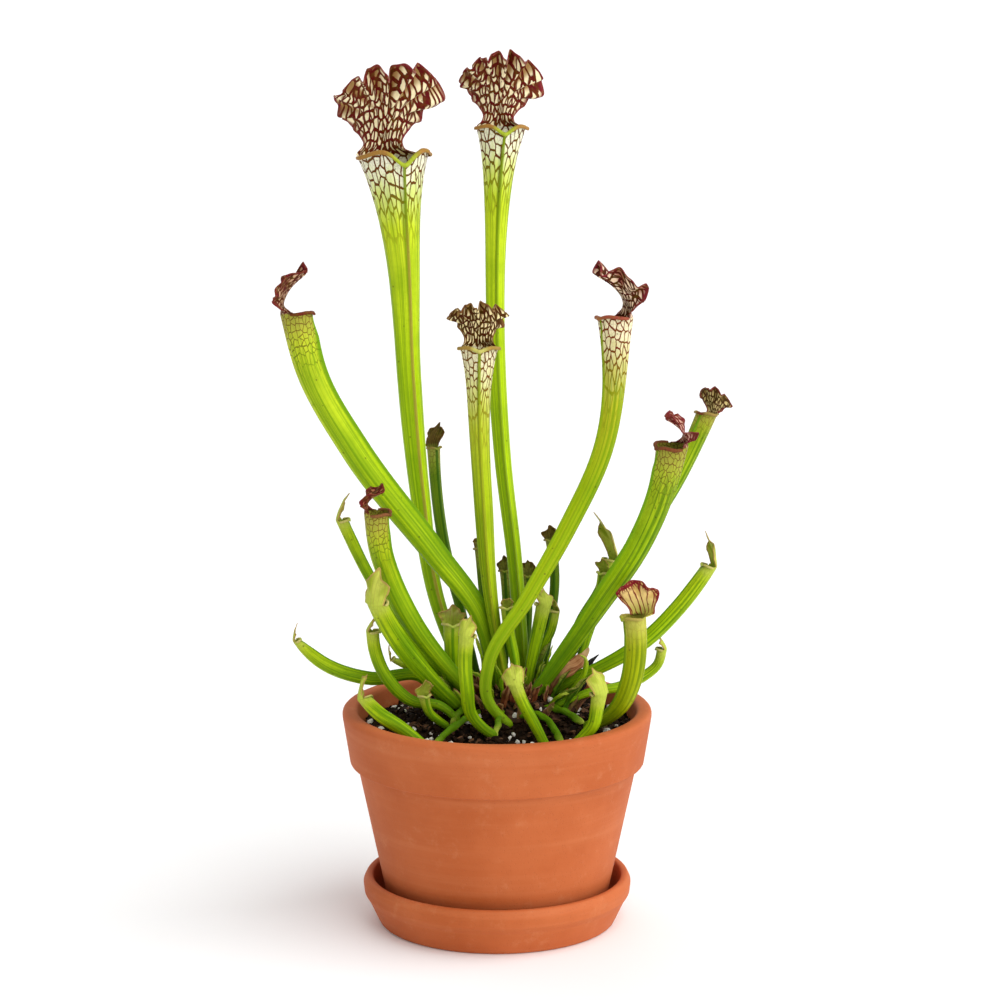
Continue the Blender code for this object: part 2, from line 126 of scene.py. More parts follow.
class Wire:
    def __init__(self, shader, socket):
        self.shader = shader
        self.socket = socket

    def maths(self, operation, first, second):
        return self.shader.node("ShaderNodeMath", {"operation": operation}, {0: first, 1: second})

    def __add__(self, other):
        return self.maths("ADD", self, other)

    def __radd__(self, other):
        return self.maths("ADD", other, self)

    def __sub__(self, other):
        return self.maths("SUBTRACT", self, other)

    def __rsub__(self, other):
        return self.maths("SUBTRACT", other, self)

    def __mul__(self, other):
        return self.maths("MULTIPLY", self, other)

    def __rmul__(self, other):
        return self.maths("MULTIPLY", other, self)

    def over(self, other):      # the larger of the two
        return self.maths("MAXIMUM", self, other)

    def mirrored(self, high):   # goes up to high and back down to nothing, over and over
        return self.maths("PINGPONG", self, high)

    def ease(self, low, high, start=0.0, end=1.0):
        return self.shader.node("ShaderNodeMapRange", {"interpolation_type": "SMOOTHSTEP"},
                                {0: self, 1: low, 2: high, 3: start, 4: end})


class Shader:
    def __init__(self, name, **skin):
        self.material = bpy.data.materials.new(name)
        self.material.use_nodes = True
        self.tree = self.material.node_tree
        self.skin = self.tree.nodes["Principled BSDF"]
        for key, value in skin.items():
            self.feed(self.skin.inputs[key.replace("_", " ")], value)

    def feed(self, socket, value):
        if isinstance(value, Wire):
            self.tree.links.new(value.socket, socket)
        elif isinstance(value, (tuple, list)) and len(value) == 3 and len(socket.default_value) == 4:
            socket.default_value = (*value, 1)
        else:
            socket.default_value = value

    def node(self, kind, settings=None, sockets=None, out=0):
        made = self.tree.nodes.new(kind)
        for key, value in (settings or {}).items():
            setattr(made, key, value)
        for key, value in (sockets or {}).items():
            self.feed(made.inputs[key], value)
        return Wire(self, made.outputs[out])

    def blend(self, amount, first, second):
        return self.node("ShaderNodeMix", {"data_type": "RGBA"}, {0: amount, 6: first, 7: second}, out=2)

    def map(self, name):
        return self.node("ShaderNodeUVMap", {"uv_map": name})

    def attribute(self, name):
        return self.node("ShaderNodeAttribute", {"attribute_name": name}, out=2)

    def place(self):
        return self.node("ShaderNodeTexCoord", out=3)

    def scaled(self, vector, *amounts):
        return self.node("ShaderNodeVectorMath", {"operation": "MULTIPLY"}, {0: vector, 1: amounts})

    def shifted(self, vector, amount, offset):
        return self.node("ShaderNodeVectorMath", {"operation": "MULTIPLY_ADD"},
                         {0: offset, 1: (amount, amount, amount), 2: vector})

    def noise(self, vector, scale, detail=3.0, rough=0.5, out=0):
        return self.node("ShaderNodeTexNoise", {},
                         {"Vector": vector, "Scale": scale, "Detail": detail, "Roughness": rough}, out=out)

    def cells(self, vector, scale, feature="DISTANCE_TO_EDGE", spread=0.85, flat=False):
        return self.node("ShaderNodeTexVoronoi",
                         {"feature": feature, "voronoi_dimensions": "2D" if flat else "3D"},
                         {"Vector": vector, "Scale": scale, "Randomness": spread})

    def bump(self, height, distance, strength=1.0):
        return self.node("ShaderNodeBump", {}, {"Height": height, "Distance": distance, "Strength": strength})

    def finish(self, colour, roughness, normal=None):
        self.feed(self.skin.inputs["Base Color"], colour)
        self.feed(self.skin.inputs["Roughness"], roughness)
        if normal:
            self.feed(self.skin.inputs["Normal"], normal)
        return self.material


# ground

ground = dict(
    crown=(4, 12), crownHalf=(38, 30), crownHeight=12.5,   # the rhizome
    edge=102.5, top=108, bank=0.8, gap=0.3,                # heights of the soil, gap under the rhizome
)


def crownDistance(x, y):
    (cx, cy), (a, b) = ground["crown"], ground["crownHalf"]
    return np.hypot((x - cx) / a, (y - cy) / b)


def soilHeight(x, y):
    slope = smoothStep(crownDistance(x, y), 1, 1 + ground["bank"])
    return ground["top"] - (ground["top"] - ground["edge"]) * slope


def groundHeight(x, y):
    d = crownDistance(x, y)
    dome = ground["top"] + ground["gap"] + ground["crownHeight"] * np.sqrt(np.maximum(0, 1 - d * d))
    return np.where(d < 1, dome, soilHeight(x, y))


# pot and saucer

potShape = dict(
    base=6.3, radius=55.6, taper=0.2104, wall=7, sides=144,
    bandFoot=77.6, bandOut=3.6, rim=80, rimInner=71.7, height=106.7, drain=9,
)
saucerShape = dict(radius=69.3, foot=60.8, floor=6, wall=5, height=25, sides=144)


def rounded(corners):
    # each corner is (radius, height, rounding); the rounding becomes a short arc of points
    points = []
    for i, (x, z, r) in enumerate(corners):
        here = Vector((x, z))
        if not r or i in (0, len(corners) - 1):
            points.append(here)
            continue
        before = Vector(corners[i - 1][:2]) - here
        after = Vector(corners[i + 1][:2]) - here
        cut = min(r / math.tan(before.angle(after) / 2), 0.48 * before.length, 0.48 * after.length)
        start, end = here + before.normalized() * cut, here + after.normalized() * cut
        for k in range(6):
            t = k / 5
            points.append(start * (1 - t) ** 2 + here * 2 * t * (1 - t) + end * t * t)
    return points


def turned(name, corners, sides):
    # a ring is extruded and resized from point to point of the profile
    profile = rounded(corners)
    clearSelection()
    bpy.ops.mesh.primitive_circle_add(vertices=sides, radius=profile[0].x * mm, fill_type="NGON",
                                      location=(0, 0, profile[0].y * mm))
    bpy.ops.object.transform_apply(location=True, rotation=True, scale=True)
    piece = named(name)
    bpy.ops.object.mode_set(mode="EDIT")
    bpy.ops.mesh.select_all(action="SELECT")
    bpy.ops.mesh.delete(type="ONLY_FACE")
    bpy.ops.mesh.select_all(action="SELECT")
    for here, there in zip(profile, profile[1:]):
        bpy.ops.mesh.extrude_region_move(TRANSFORM_OT_translate={"value": (0, 0, (there.y - here.y) * mm)})
        k = there.x / here.x
        bpy.ops.transform.resize(value=(k, k, 1), center_override=(0, 0, there.y * mm))
    return piece


def closeTurned(piece, capped):
    if capped:      # a face closes each end of the profile
        bpy.ops.mesh.edge_face_add()
        bpy.ops.mesh.select_all(action="DESELECT")
        bpy.ops.mesh.select_non_manifold(extend=False)
        bpy.ops.mesh.edge_face_add()
    weld(piece)


def terracotta():
    clay = Shader("terracotta", Specular_IOR_Level=0.3)
    spot = clay.place()
    bands = clay.noise(clay.scaled(spot, 6, 6, 150), 1.0, 4, 0.6)            # turning marks
    patches = clay.noise(spot, 16, 5, 0.6)
    dust = clay.noise(spot, 90, 6, 0.75)
    grit = clay.cells(spot, 650, "F1", 1.0)
    colour = clay.blend(patches.ease(0.3, 0.72), (0.44, 0.094, 0.018), (0.52, 0.128, 0.034))
    colour = clay.blend(bands.ease(0.42, 0.75, 0, 0.35), colour, (0.58, 0.18, 0.065))
    colour = clay.blend(dust.ease(0.52, 0.8, 0, 0.35), colour, (0.64, 0.26, 0.12))
    colour = clay.blend(grit.ease(0.0, 0.28, 0.35, 0), colour, (0.28, 0.07, 0.025))
    height = bands * 0.5 + dust * 0.35 + patches * 0.4 - grit.ease(0.0, 0.3, 0.25, 0)
    return clay.finish(colour, patches * 0.1 + 0.66, clay.bump(height, 0.0006, 0.55))


def makePot(material):
    s = potShape
    z0, wall, top = s["base"], s["wall"], s["base"] + s["height"]
    side = lambda h: s["radius"] + s["taper"] * h
    corners = [
        (s["drain"], z0, 0), (side(0), z0, 1.6), (side(s["bandFoot"]), z0 + s["bandFoot"], 0.9),
        (side(s["bandFoot"]) + s["bandOut"], z0 + s["bandFoot"] + 0.9, 1.3), (s["rim"], top, 3.4),
        (s["rimInner"], top, 3.0), (s["rimInner"] - 1.4, top - 12, 4),
        (side(s["bandFoot"]) - wall, z0 + s["bandFoot"] - 2, 4), (side(wall) - wall, z0 + wall, 4),
        (s["drain"], z0 + wall, 1), (s["drain"], z0, 0),
    ]
    piece = turned("clayPot", corners, s["sides"])
    closeTurned(piece, False)
    return finish(piece, material, "terracotta", "pot", angle=60)


def makeSaucer(material):
    s = saucerShape
    lip = s["radius"] - s["wall"]
    corners = [
        (1, s["floor"], 0), (lip - 4.2, s["floor"], 3.5), (lip - 1.9, s["floor"] + 6.5, 8),
        (lip - 0.1, s["height"] - 0.2, 1.8), (s["radius"] - 1.9, s["height"], 1.9),
        (s["radius"], s["height"] - 4, 3.5), (s["radius"] - 0.6, s["height"] - 9.4, 3.2),
        (s["radius"] - 2.7, s["height"] - 12.6, 2.2), (s["foot"], 0, 2.8), (1, 0, 0),
    ]
    piece = turned("claySaucer", corners, s["sides"])
    closeTurned(piece, True)
    return finish(piece, material, "terracotta", "saucer", angle=60)


# leaves: the middle line from the foot to the mouth, widths at foot, tube and mouth, the length
# of the flare (8 unless given), the way the mouth faces, the hood's width and height, and the look
# of the skin (young unless given), with the hood's shape and the skin's colours where they differ

leaves = {
    "tallLeft": dict(
        look="lace", faces=-70, hood=(55, 46), widths=(7, 11, 35), flare=38,
        spine=[(-13, 16), (-31, 20, 164), (-40, 24, 222), (-45, 28, 278), (-48, 31, 340), (-53, 34, 392)],
        dip=0.25, lift=0.18, tip=0.05, keel=1.7, ruffles=10, ruffle=0.06, scallop=0.08, lean=0.6, turn=-18,
        skew=7, heart=0.1, net=(38, 2), keelLow=(0.42, 0.34, 0.04)),
    "tallRight": dict(
        look="lace", faces=-80, hood=(43, 37), widths=(7, 9, 25), flare=26,
        spine=[(14, 27), (9, 29, 184), (3, 34, 235), (-1, 42, 318), (0, 46, 369), (2, 49, 405)], dip=0.2,
        lift=0.15, keel=1.8, ruffles=10, ruffle=0.06, scallop=0.085, lean=0.55, turn=-8, skew=3, net=(38, 2)),
    "leftArching": dict(
        look="olive", faces=-8, hood=(24, 24), widths=(7, 13, 16), flare=20,
        spine=[(-1, 11), (-10, 5, 161), (-33, 0, 194), (-72, -8, 248), (-94, -12, 290), (-100, -14, 318)],
        dip=0.02, tip=0.22, keel=2.0, ruffles=5, lean=0.62, net=(24, 0), lipTone=(0.14, 0.02, 0.01),
        notchTone=(0.14, 0.02, 0.01), midTone=(0.47, 0.66, 0.006), topTone=(0.60, 0.66, 0.025),
        darkTone=(0.15, 0.30, 0.003), hoodCell=(0.60, 0.36, 0.22), hoodVein=(0.09, 0.004, 0.008), heavy=0.09),
    "centre": dict(
        look="bronze", faces=-88, hood=(29, 22), widths=(5, 9.5, 19), flare=17,
        spine=[(6, 1), (-3, 0, 169), (-7, -6, 222), (-9, -11, 264), (-9, -14, 301)], dip=0.1, tip=0.12,
        keel=1.6, ruffles=8, scallop=0.07, lean=0.5, neck=0.5),
    "rightArching": dict(
        look="lace", faces=-150, hood=(30, 27), widths=(5, 9, 18), flare=26,
        spine=[(8, -20), (-5, -19, 123), (-4, -17, 139), (16, -8, 172),
               (36, 2, 206), (54, 9, 245), (60, 13, 312)],
        dip=0.02, tip=0.2, keel=1.4, ruffles=6, lean=0.75, net=(46, 4), lipTone=(0.32, 0.06, 0.04),
        notchTone=(0.36, 0.12, 0.05), cell=(0.90, 0.80, 0.52), topTone=(0.60, 0.52, 0.03),
        midTone=(0.34, 0.47, 0.004), hoodCell=(0.95, 0.70, 0.50), hoodDeep=(0.35, 0.08, 0.05),
        hoodVein=(0.08, 0.003, 0.003), vein=(0.18, 0.03, 0.01), scale=0.34),
    "rightFront": dict(
        look="olive", faces=-150, hood=(19, 16), widths=(7, 12, 16), flare=22,
        spine=[(18, 1), (40, -5, 150), (53, -10, 171), (72, -18, 203), (82, -25, 229), (87, -34, 255)],
        dip=0.1, keel=1.8, ruffles=5, lean=0.75, net=(27, 3), lipTone=(0.20, 0.05, 0.02),
        hoodCell=(0.72, 0.40, 0.30), hoodVein=(0.16, 0.01, 0.015), heavy=0.05),
    "rightBack": dict(
        look="olive", faces=-125, hood=(17, 14), widths=(6, 9, 11.5), flare=16,
        spine=[(23, 12), (40, 15, 146), (54, 14, 168), (73, 14, 199), (92, 16, 230), (107, 19, 262)],
        dip=0.02, tip=0.15, keel=1.0, ruffles=5, lean=0.3, turn=30, net=(12, 0), lipTone=(0.30, 0.20, 0.05),
        clear=0.5, midTone=(0.34, 0.56, 0.005), hoodCell=(0.62, 0.48, 0.20), hoodDeep=(0.20, 0.11, 0.02),
        hoodVein=(0.07, 0.022, 0.008), heavy=0.05),
    "leftMiddle": dict(
        look="olive", faces=-20, hood=(15, 14), widths=(7, 11, 12.5), flare=12,
        spine=[(-11, 1), (-29, -5, 139), (-43, -12, 160), (-55, -20, 187), (-59, -27, 203), (-60, -33, 221)],
        dip=0.12, keel=1.1, ruffles=4, lean=0.75, net=(22, 3), lipTone=(0.22, 0.07, 0.03),
        midTone=(0.40, 0.56, 0.005), topTone=(0.50, 0.54, 0.015), darkTone=(0.14, 0.29, 0.003),
        hoodCell=(0.45, 0.16, 0.08), hoodVein=(0.10, 0.006, 0.008), heavy=0.08),
    "hoodedRight": dict(
        look="cream", faces=-155, hood=(22, 19), widths=(6, 11, 12), flare=10,
        spine=[(44, -13), (55, -20, 112), (63, -24, 121), (68, -26, 134), (70, -26, 150), (69, -26, 166)],
        dip=0.12, keel=1.0, ruffles=3, lean=0.35, turn=50, skew=-3.5, sweep=-0.15, neck=0.6, ruffle=0.05,
        scallop=0.06),
    "lowLeft": dict(
        faces=55, hood=(15, 12), widths=(6.5, 10, 10.5), flare=10, ruffle=0.08, scallop=0.06,
        spine=[(-19, -6), (-34, -13, 131), (-46, -20, 147), (-55, -28, 163), (-60, -35, 175)]),
    "farLeft": dict(
        faces=-10, hood=(8, 10), widths=(4, 5.5, 7),
        spine=[(-20, 15), (-41, 13, 141), (-54, 11, 159), (-68, 9, 184), (-79, 7, 209)]),
    "backLeft": dict(
        look="shade", faces=-60, hood=(10, 11), widths=(4, 6, 7), flare=10,
        spine=[(-9, 33), (-19, 35, 156), (-28, 39, 192), (-32, 43, 223), (-33, 45, 240)],
        hoodCell=(0.20, 0.13, 0.03), hoodVein=(0.05, 0.02, 0.008), heavy=0.12),
    "uprightLeft": dict(
        faces=-85, hood=(14, 8), widths=(5, 8, 9.5),
        spine=[(-18, 7), (-22, 8, 131), (-23, 7, 143), (-23, 7, 155)], hoodCell=(0.72, 0.55, 0.28),
        hoodVein=(0.45, 0.16, 0.09)),
    "risingLeft": dict(
        faces=-10, hood=(7, 6), widths=(4, 6.3, 6.6),
        spine=[(-18, -15), (-29, -14, 117), (-43, -13, 119), (-56, -16, 132),
               (-62, -18, 147), (-63, -19, 157)]),
    "trailingLeft": dict(
        faces=0, hood=(5, 6), widths=(5, 7, 5), flare=10,
        spine=[(-27, 3), (-40, 0, 129), (-65, -3, 128.5), (-88, -7, 137), (-102, -10, 150)]),
    "lyingLeft": dict(
        faces=35, hood=(12, 9), widths=(5, 7.5, 8),
        spine=[(-34, -42), (-46, -41, 111), (-59, -35, 118), (-67, -27, 124)]),
    "tinyLeft": dict(
        faces=-70, hood=(10, 7), widths=(4, 4.5, 6), flare=5,
        spine=[(-24, -17), (-30, -20, 111), (-34, -22, 115), (-37, -24, 125)]),
    "front": dict(
        faces=60, hood=(10, 8), widths=(5, 7, 8),
        spine=[(0, -29), (-7, -32, 110), (-13, -35, 118), (-15, -39, 132), (-16, -41, 148), (-15, -42, 160)]),
    "frontRight": dict(
        faces=100, hood=(12, 8), widths=(5, 6, 8), flare=6,
        spine=[(25, -39), (18, -41, 116), (13, -43, 126), (9, -44, 136)]),
    "smallRight": dict(
        faces=130, hood=(13, 10), widths=(4, 6.5, 8), flare=6,
        spine=[(34, -43), (43, -45, 109), (48, -46, 115), (50, -46, 124), (51, -46, 131)]),
    "farRight": dict(
        faces=-165, hood=(11, 12), widths=(5, 8, 9), flare=10,
        spine=[(28, 10), (38, 7, 125), (53, 6, 132), (76, 7, 146), (94, 9, 164), (109, 12, 184)]),
    "curlingRight": dict(
        faces=180, hood=(7, 6), widths=(3.5, 4.8, 5.2), flare=6,
        spine=[(29, -4), (48, -2, 121), (64, 6, 122), (76, 11, 126), (83, 13, 132), (85, 13, 140)]),
    "backMiddle": dict(
        look="shade", faces=-100, hood=(9, 6), widths=(4, 5, 6),
        spine=[(22, 30), (27, 32, 146), (30, 36, 172), (28, 40, 192)], hoodCell=(0.24, 0.17, 0.04),
        hoodVein=(0.08, 0.03, 0.01), heavy=0.1),
    "backRight": dict(
        faces=-150, hood=(13, 18), widths=(4, 6, 7.5),
        spine=[(32, 24), (44, 31, 151), (54, 35, 167), (59, 37, 182)]),
    "slimRight": dict(
        faces=-120, hood=(9, 6), widths=(3.5, 5, 6), flare=7,
        spine=[(37, 12), (46, 20, 143), (52, 23, 162), (55, 24, 178)]),
    "inner": dict(
        faces=-90, hood=(7, 4), widths=(4, 5.5, 6.3),
        spine=[(11, -3), (9, -2, 138), (6, -2, 154), (5, -3, 166)]),
    "innerRight": dict(
        faces=115, hood=(10.5, 6.5), widths=(5, 6.5, 8),
        spine=[(15, 11), (19, 13, 140), (22, 14, 154), (24, 15, 163)]),
    "innerSlim": dict(
        faces=-150, hood=(6, 5), widths=(3.5, 4.5, 5), flare=6,
        spine=[(19, 21), (25, 21, 141), (28, 21, 148), (30, 22, 158)]),
    "backPale": dict(
        look="shade", faces=-90, hood=(8, 7), widths=(3.5, 4.5, 6),
        spine=[(12, 38), (16, 40, 149), (16, 44, 172)]),
    "backDark": dict(
        look="shade", faces=-90, hood=(8, 6), widths=(3.5, 4.5, 5.5),
        spine=[(3, 36), (5, 42, 154), (4, 47, 174)]),
    "backSlim": dict(
        look="shade", faces=-90, hood=(7, 6), widths=(3.5, 4.5, 5.5),
        spine=[(-1, 26), (-7, 29, 163), (-9, 32, 189)]),
    "hooked": dict(
        faces=180, widths=(2.5, 3, 1.5), flare=5,
        spine=[(33, 3), (41, -1, 125), (45, -2, 132), (45, -2, 139), (42, -3, 141)]),
    "paleRight": dict(
        faces=-120, hood=(5, 3), widths=(3, 4, 5), flare=5, spine=[(31, 16), (33, 17, 126), (36, 19, 132)]),
    "wedge": dict(
        faces=0, hood=(5, 5), widths=(3.5, 5, 5), flare=6, spine=[(-26, 20), (-41, 16, 128), (-54, 15, 134)]),
    "dried": dict(
        look="dried", faces=90, widths=(3, 8, 4), flare=6, flat=0.3,
        spine=[(27, 4), (33, 2, 130), (42, 6, 135), (47, 9, 142)]),
    "dead": dict(
        look="dead", faces=180, widths=(4, 6, 4), flare=5, flat=0.5,
        spine=[(42, 34), (46, 36, 118), (49, 38, 127), (53, 38, 131)]),
}

bigMouth = 11        # from this width of the mouth on, a leaf is a big one
detail = dict(
    large=dict(hood=116, side=14, keel=6, tube=80, cap=42, lip=8, skin=0.5),
    middle=dict(hood=84, side=12, keel=5, tube=64, cap=32, lip=8, skin=0.45),
    small=dict(hood=40, side=8, keel=3, tube=42, cap=18, lip=6, skin=0.35),
)
hoodSpan = math.radians(72)      # half the arc of the rim that carries the hood
keelSide = math.radians(166)     # where the keel begins, on each side
hoodShape = dict(
    pinch=0.22, sideDrop=0.3,            # where the neck ends, and how much lower the sides are
    youngMouth=10.8,                     # a hood on a narrower mouth is a plain cap
    plain=dict(neck=0.36, heart=0.0, sweep=0.6, ruffles=5, ruffle=0.08, scallop=0.11),
    young=dict(neck=0.8, heart=-0.3, sweep=-0.6, ruffles=3, ruffle=0.06, scallop=0.05),
)


def nodeName(name):
    words = "".join("_" + letter.lower() if letter.isupper() else letter for letter in name)
    return words + ("_leaf" if name in ("hooked", "wedge", "dried", "dead") else "_pitcher")


def smoothLine(points, shares):
    # a smooth curve through the points, read at shares of its length
    points = [np.array(p, float) for p in points]
    steps = np.concatenate([[0], np.cumsum([np.linalg.norm(b - a) for a, b in zip(points, points[1:])])])
    slopes = [None] * len(points)
    for i in range(1, len(points) - 1):
        before = (points[i] - points[i - 1]) / (steps[i] - steps[i - 1])
        after = (points[i + 1] - points[i]) / (steps[i + 1] - steps[i])
        share = (steps[i + 1] - steps[i]) / (steps[i + 1] - steps[i - 1])
        slopes[i] = before * share + after * (1 - share)
    slopes[0] = 1.5 * (points[1] - points[0]) / steps[1] - 0.5 * slopes[1]
    slopes[-1] = 1.5 * (points[-1] - points[-2]) / (steps[-1] - steps[-2]) - 0.5 * slopes[-2]
    line = []
    for t in shares:
        at = t * steps[-1]
        i = max(k for k in range(len(points) - 1) if steps[k] <= at + 1e-9)
        span = steps[i + 1] - steps[i]
        u = (at - steps[i]) / span
        line.append((2 * u**3 - 3 * u**2 + 1) * points[i] + (u**3 - 2 * u**2 + u) * span * slopes[i]
                    + (3 * u**2 - 2 * u**3) * points[i + 1] + (u**3 - u**2) * span * slopes[i + 1])
    return np.array(line)


def carryFrames(line, faces):
    # the way along, the front and the side at each point, carried down from the mouth
    along = np.gradient(line, axis=0)
    along /= np.linalg.norm(along, axis=1)[:, None]
    a = math.radians(faces)
    front = np.array([math.cos(a), math.sin(a), 0.25])
    fronts = np.zeros_like(line)
    for i in reversed(range(len(line))):
        front = front - front.dot(along[i]) * along[i]
        front = front / np.linalg.norm(front)
        fronts[i] = front
    return along, fronts, np.cross(along, fronts)


def hoodSheet(u, w, leaf, mouth, along, front, side, radius, dice):
    # u runs across from -1 to 1 and w from the rim at 0 to the free edge at 1
    width, height = leaf["hood"]
    kind = "young" if 2 * radius < hoodShape["youngMouth"] else "plain"
    h = dict(hoodShape[kind], lean=0.6, turn=0, skew=0)
    h.update({key: leaf[key] for key in h if key in leaf})
    rise = along + 1.5 * up
    rise = rise / np.linalg.norm(rise)
    turn = math.radians(h["turn"])
    neck = h["neck"] * width / 2
    base = radius * math.sin(hoodSpan)
    pinch = hoodShape["pinch"]
    flare = np.sin(math.pi / 2 * np.clip((w - pinch) / (1 - pinch), 0, 1)) ** 1.6
    half = np.where(w < pinch, base + (neck - base) * np.sin(math.pi / 2 * np.clip(w / pinch, 0, 1)),
                    neck + (width / 2 - neck) * flare)
    dent = h["heart"] * np.exp(-(u / (0.17 if h["heart"] > 0 else 0.3)) ** 2)
    tall = height * (1 - hoodShape["sideDrop"] * np.abs(u) ** 2.6 - dent) * w
    opened = smoothStep(w, 0.08, 0.5)
    swept = h["lean"] * height * (tall / height) ** 1.8 - h["sweep"] * opened * half * u * u
    rimAngle = hoodSpan * u
    wrap = 1 - smoothStep(w, 0.0, 0.24)
    forward = swept + wrap * radius * (1 - np.cos(rimAngle)) + (1 - wrap) * (1 - opened) * 0.4 * half * u * u
    frontward = front * math.cos(turn) + side * math.sin(turn)
    sideward = side * math.cos(turn) - front * math.sin(turn)
    across = half * u + h["skew"] * (tall / height)
    root = (mouth - front * radius)[None, None]
    point = root + frontward * forward[..., None] + rise * tall[..., None] + sideward * across[..., None]
    wrapped = root + front * (radius * (1 - np.cos(rimAngle)))[..., None] \
        + side * (radius * np.sin(rimAngle))[..., None] + rise * tall[..., None]
    start = (1 - smoothStep(w, 0.0, 0.12))[..., None]
    point = point * (1 - start) + wrapped * start
    # ruffles run along the free edge, and fade towards the middle and the neck
    phase = dice.uniform(0, math.tau)
    fan = np.arctan2(half * u, tall - 0.42 * height)
    edge = np.maximum(smoothStep(w, 0.35, 1.0), smoothStep(np.abs(u), 0.4, 1.0) * smoothStep(w, 0.3, 0.7))
    uneven = np.vectorize(lambda a: 0.85 + 0.9 * noise.noise(Vector((a * h["ruffles"] * 0.3, phase, 0))))(fan)
    wave = 1.4 * h["ruffles"] * fan + phase + 0.6 * np.sin(1.6 * fan + phase)
    normal = np.cross(np.gradient(point, axis=1), np.gradient(point, axis=0))
    normal /= np.maximum(np.linalg.norm(normal, axis=2), 1e-9)[..., None]
    push = width * h["ruffle"] * (edge ** 1.3 * np.sin(wave) * uneven + 0.3 * edge ** 4 * np.sin(2.7 * wave))
    outward = sideward * np.sin(fan)[..., None] + rise * np.cos(fan)[..., None]
    crosswise = sideward * np.cos(fan)[..., None] - rise * np.sin(fan)[..., None]
    lobe = np.abs(np.cos(wave / 2 + 0.4)) ** 0.4 - 0.75
    reachOut = height * h["scallop"] * edge ** 2 * lobe * uneven
    swell = width * 0.03 * np.sin(wave + 0.8) * edge ** 2
    point = point + normal * push[..., None] + outward * reachOut[..., None] + crosswise * swell[..., None]
    inwards = np.minimum((1 - w) * height * 0.9, (1 - np.abs(u)) * half + 30 * (1 - smoothStep(w, 0.02, 0.1)))
    margin = np.exp(-inwards / (0.6 + 0.012 * width))
    # painted shade: this mask is high where the ruffles fold back, and darkens the hood there
    fold = (0.5 - 0.5 * np.sin(wave)) * smoothStep(w, 0.15, 0.8)
    return point, tall, half, edge, margin, fold


def tubeSheet(leaf, angles, lengths, radii, line, along, front, side):
    # the tube, with its keel along the front
    total, mouthWidth, flat = lengths[-1], leaf["widths"][2], leaf.get("flat", 1)
    away = math.pi - np.abs(angles)
    ridgeWidth = 0.75 / np.maximum(radii, 1.5)
    ridge = np.exp(-(away[None] / ridgeWidth[:, None]) ** 2)
    fade = (smoothStep(lengths, 4, 30) * (1 - 0.8 * smoothStep(lengths, total - 14, total - 2)))[:, None]
    girth = radii[:, None] + leaf.get("keel", 0.5) * ridge * fade
    ribs = 3.5 if mouthWidth >= bigMouth else 2.5
    creases = (1 - np.abs(np.sin(angles * ribs))) ** 3 + 0.4 * np.cos(angles * 14)
    girth = girth * (1 + 0.03 * creases[None] * smoothStep(radii, 1.5, 4)[:, None])
    tube = line[:, None] - front[:, None] * (girth * flat * np.cos(angles))[..., None] \
        + side[:, None] * (girth * np.sin(angles))[..., None]
    if "hood" in leaf:      # the rim is nearly level, with a spout at the keel and raised sides
        dip = radii[-1] * (leaf.get("lift", 0.1) * np.exp(-((away - 0.65) / 0.5) ** 2)
                           - leaf.get("dip", 0.15) * np.exp(-(away / 0.3) ** 2))
        dipFade = np.exp((lengths - total) / (0.5 * mouthWidth))[:, None]
        levelFade = leaf.get("level", 0.75) * np.exp((lengths - total) / (0.8 * mouthWidth))[:, None]
        tilt = (tube - line[:, None])[..., 2]
        tube[..., 2] += dip[None] * dipFade - tilt * levelFade
        nearer = (tube - line[:, None])[..., 1]
        tube[..., 2] -= leaf.get("tip", 0.0) * nearer * levelFade
    elif flat < 1:          # withered leaves are crumpled
        for spot in np.ndindex(tube.shape[:2]):
            tube[spot] += 0.9 * np.array(noise.noise_vector(Vector(tube[spot] * 0.25)))
    return tube, ridge


def cutAway(piece, gone):
    mesh = piece.data
    bpy.ops.object.mode_set(mode="EDIT")
    bpy.ops.mesh.select_mode(type="FACE")
    bpy.ops.object.mode_set(mode="OBJECT")
    mesh.polygons.foreach_set("select", gone)
    bpy.ops.object.mode_set(mode="EDIT")
    bpy.ops.mesh.delete(type="FACE")
    bpy.ops.object.mode_set(mode="OBJECT")


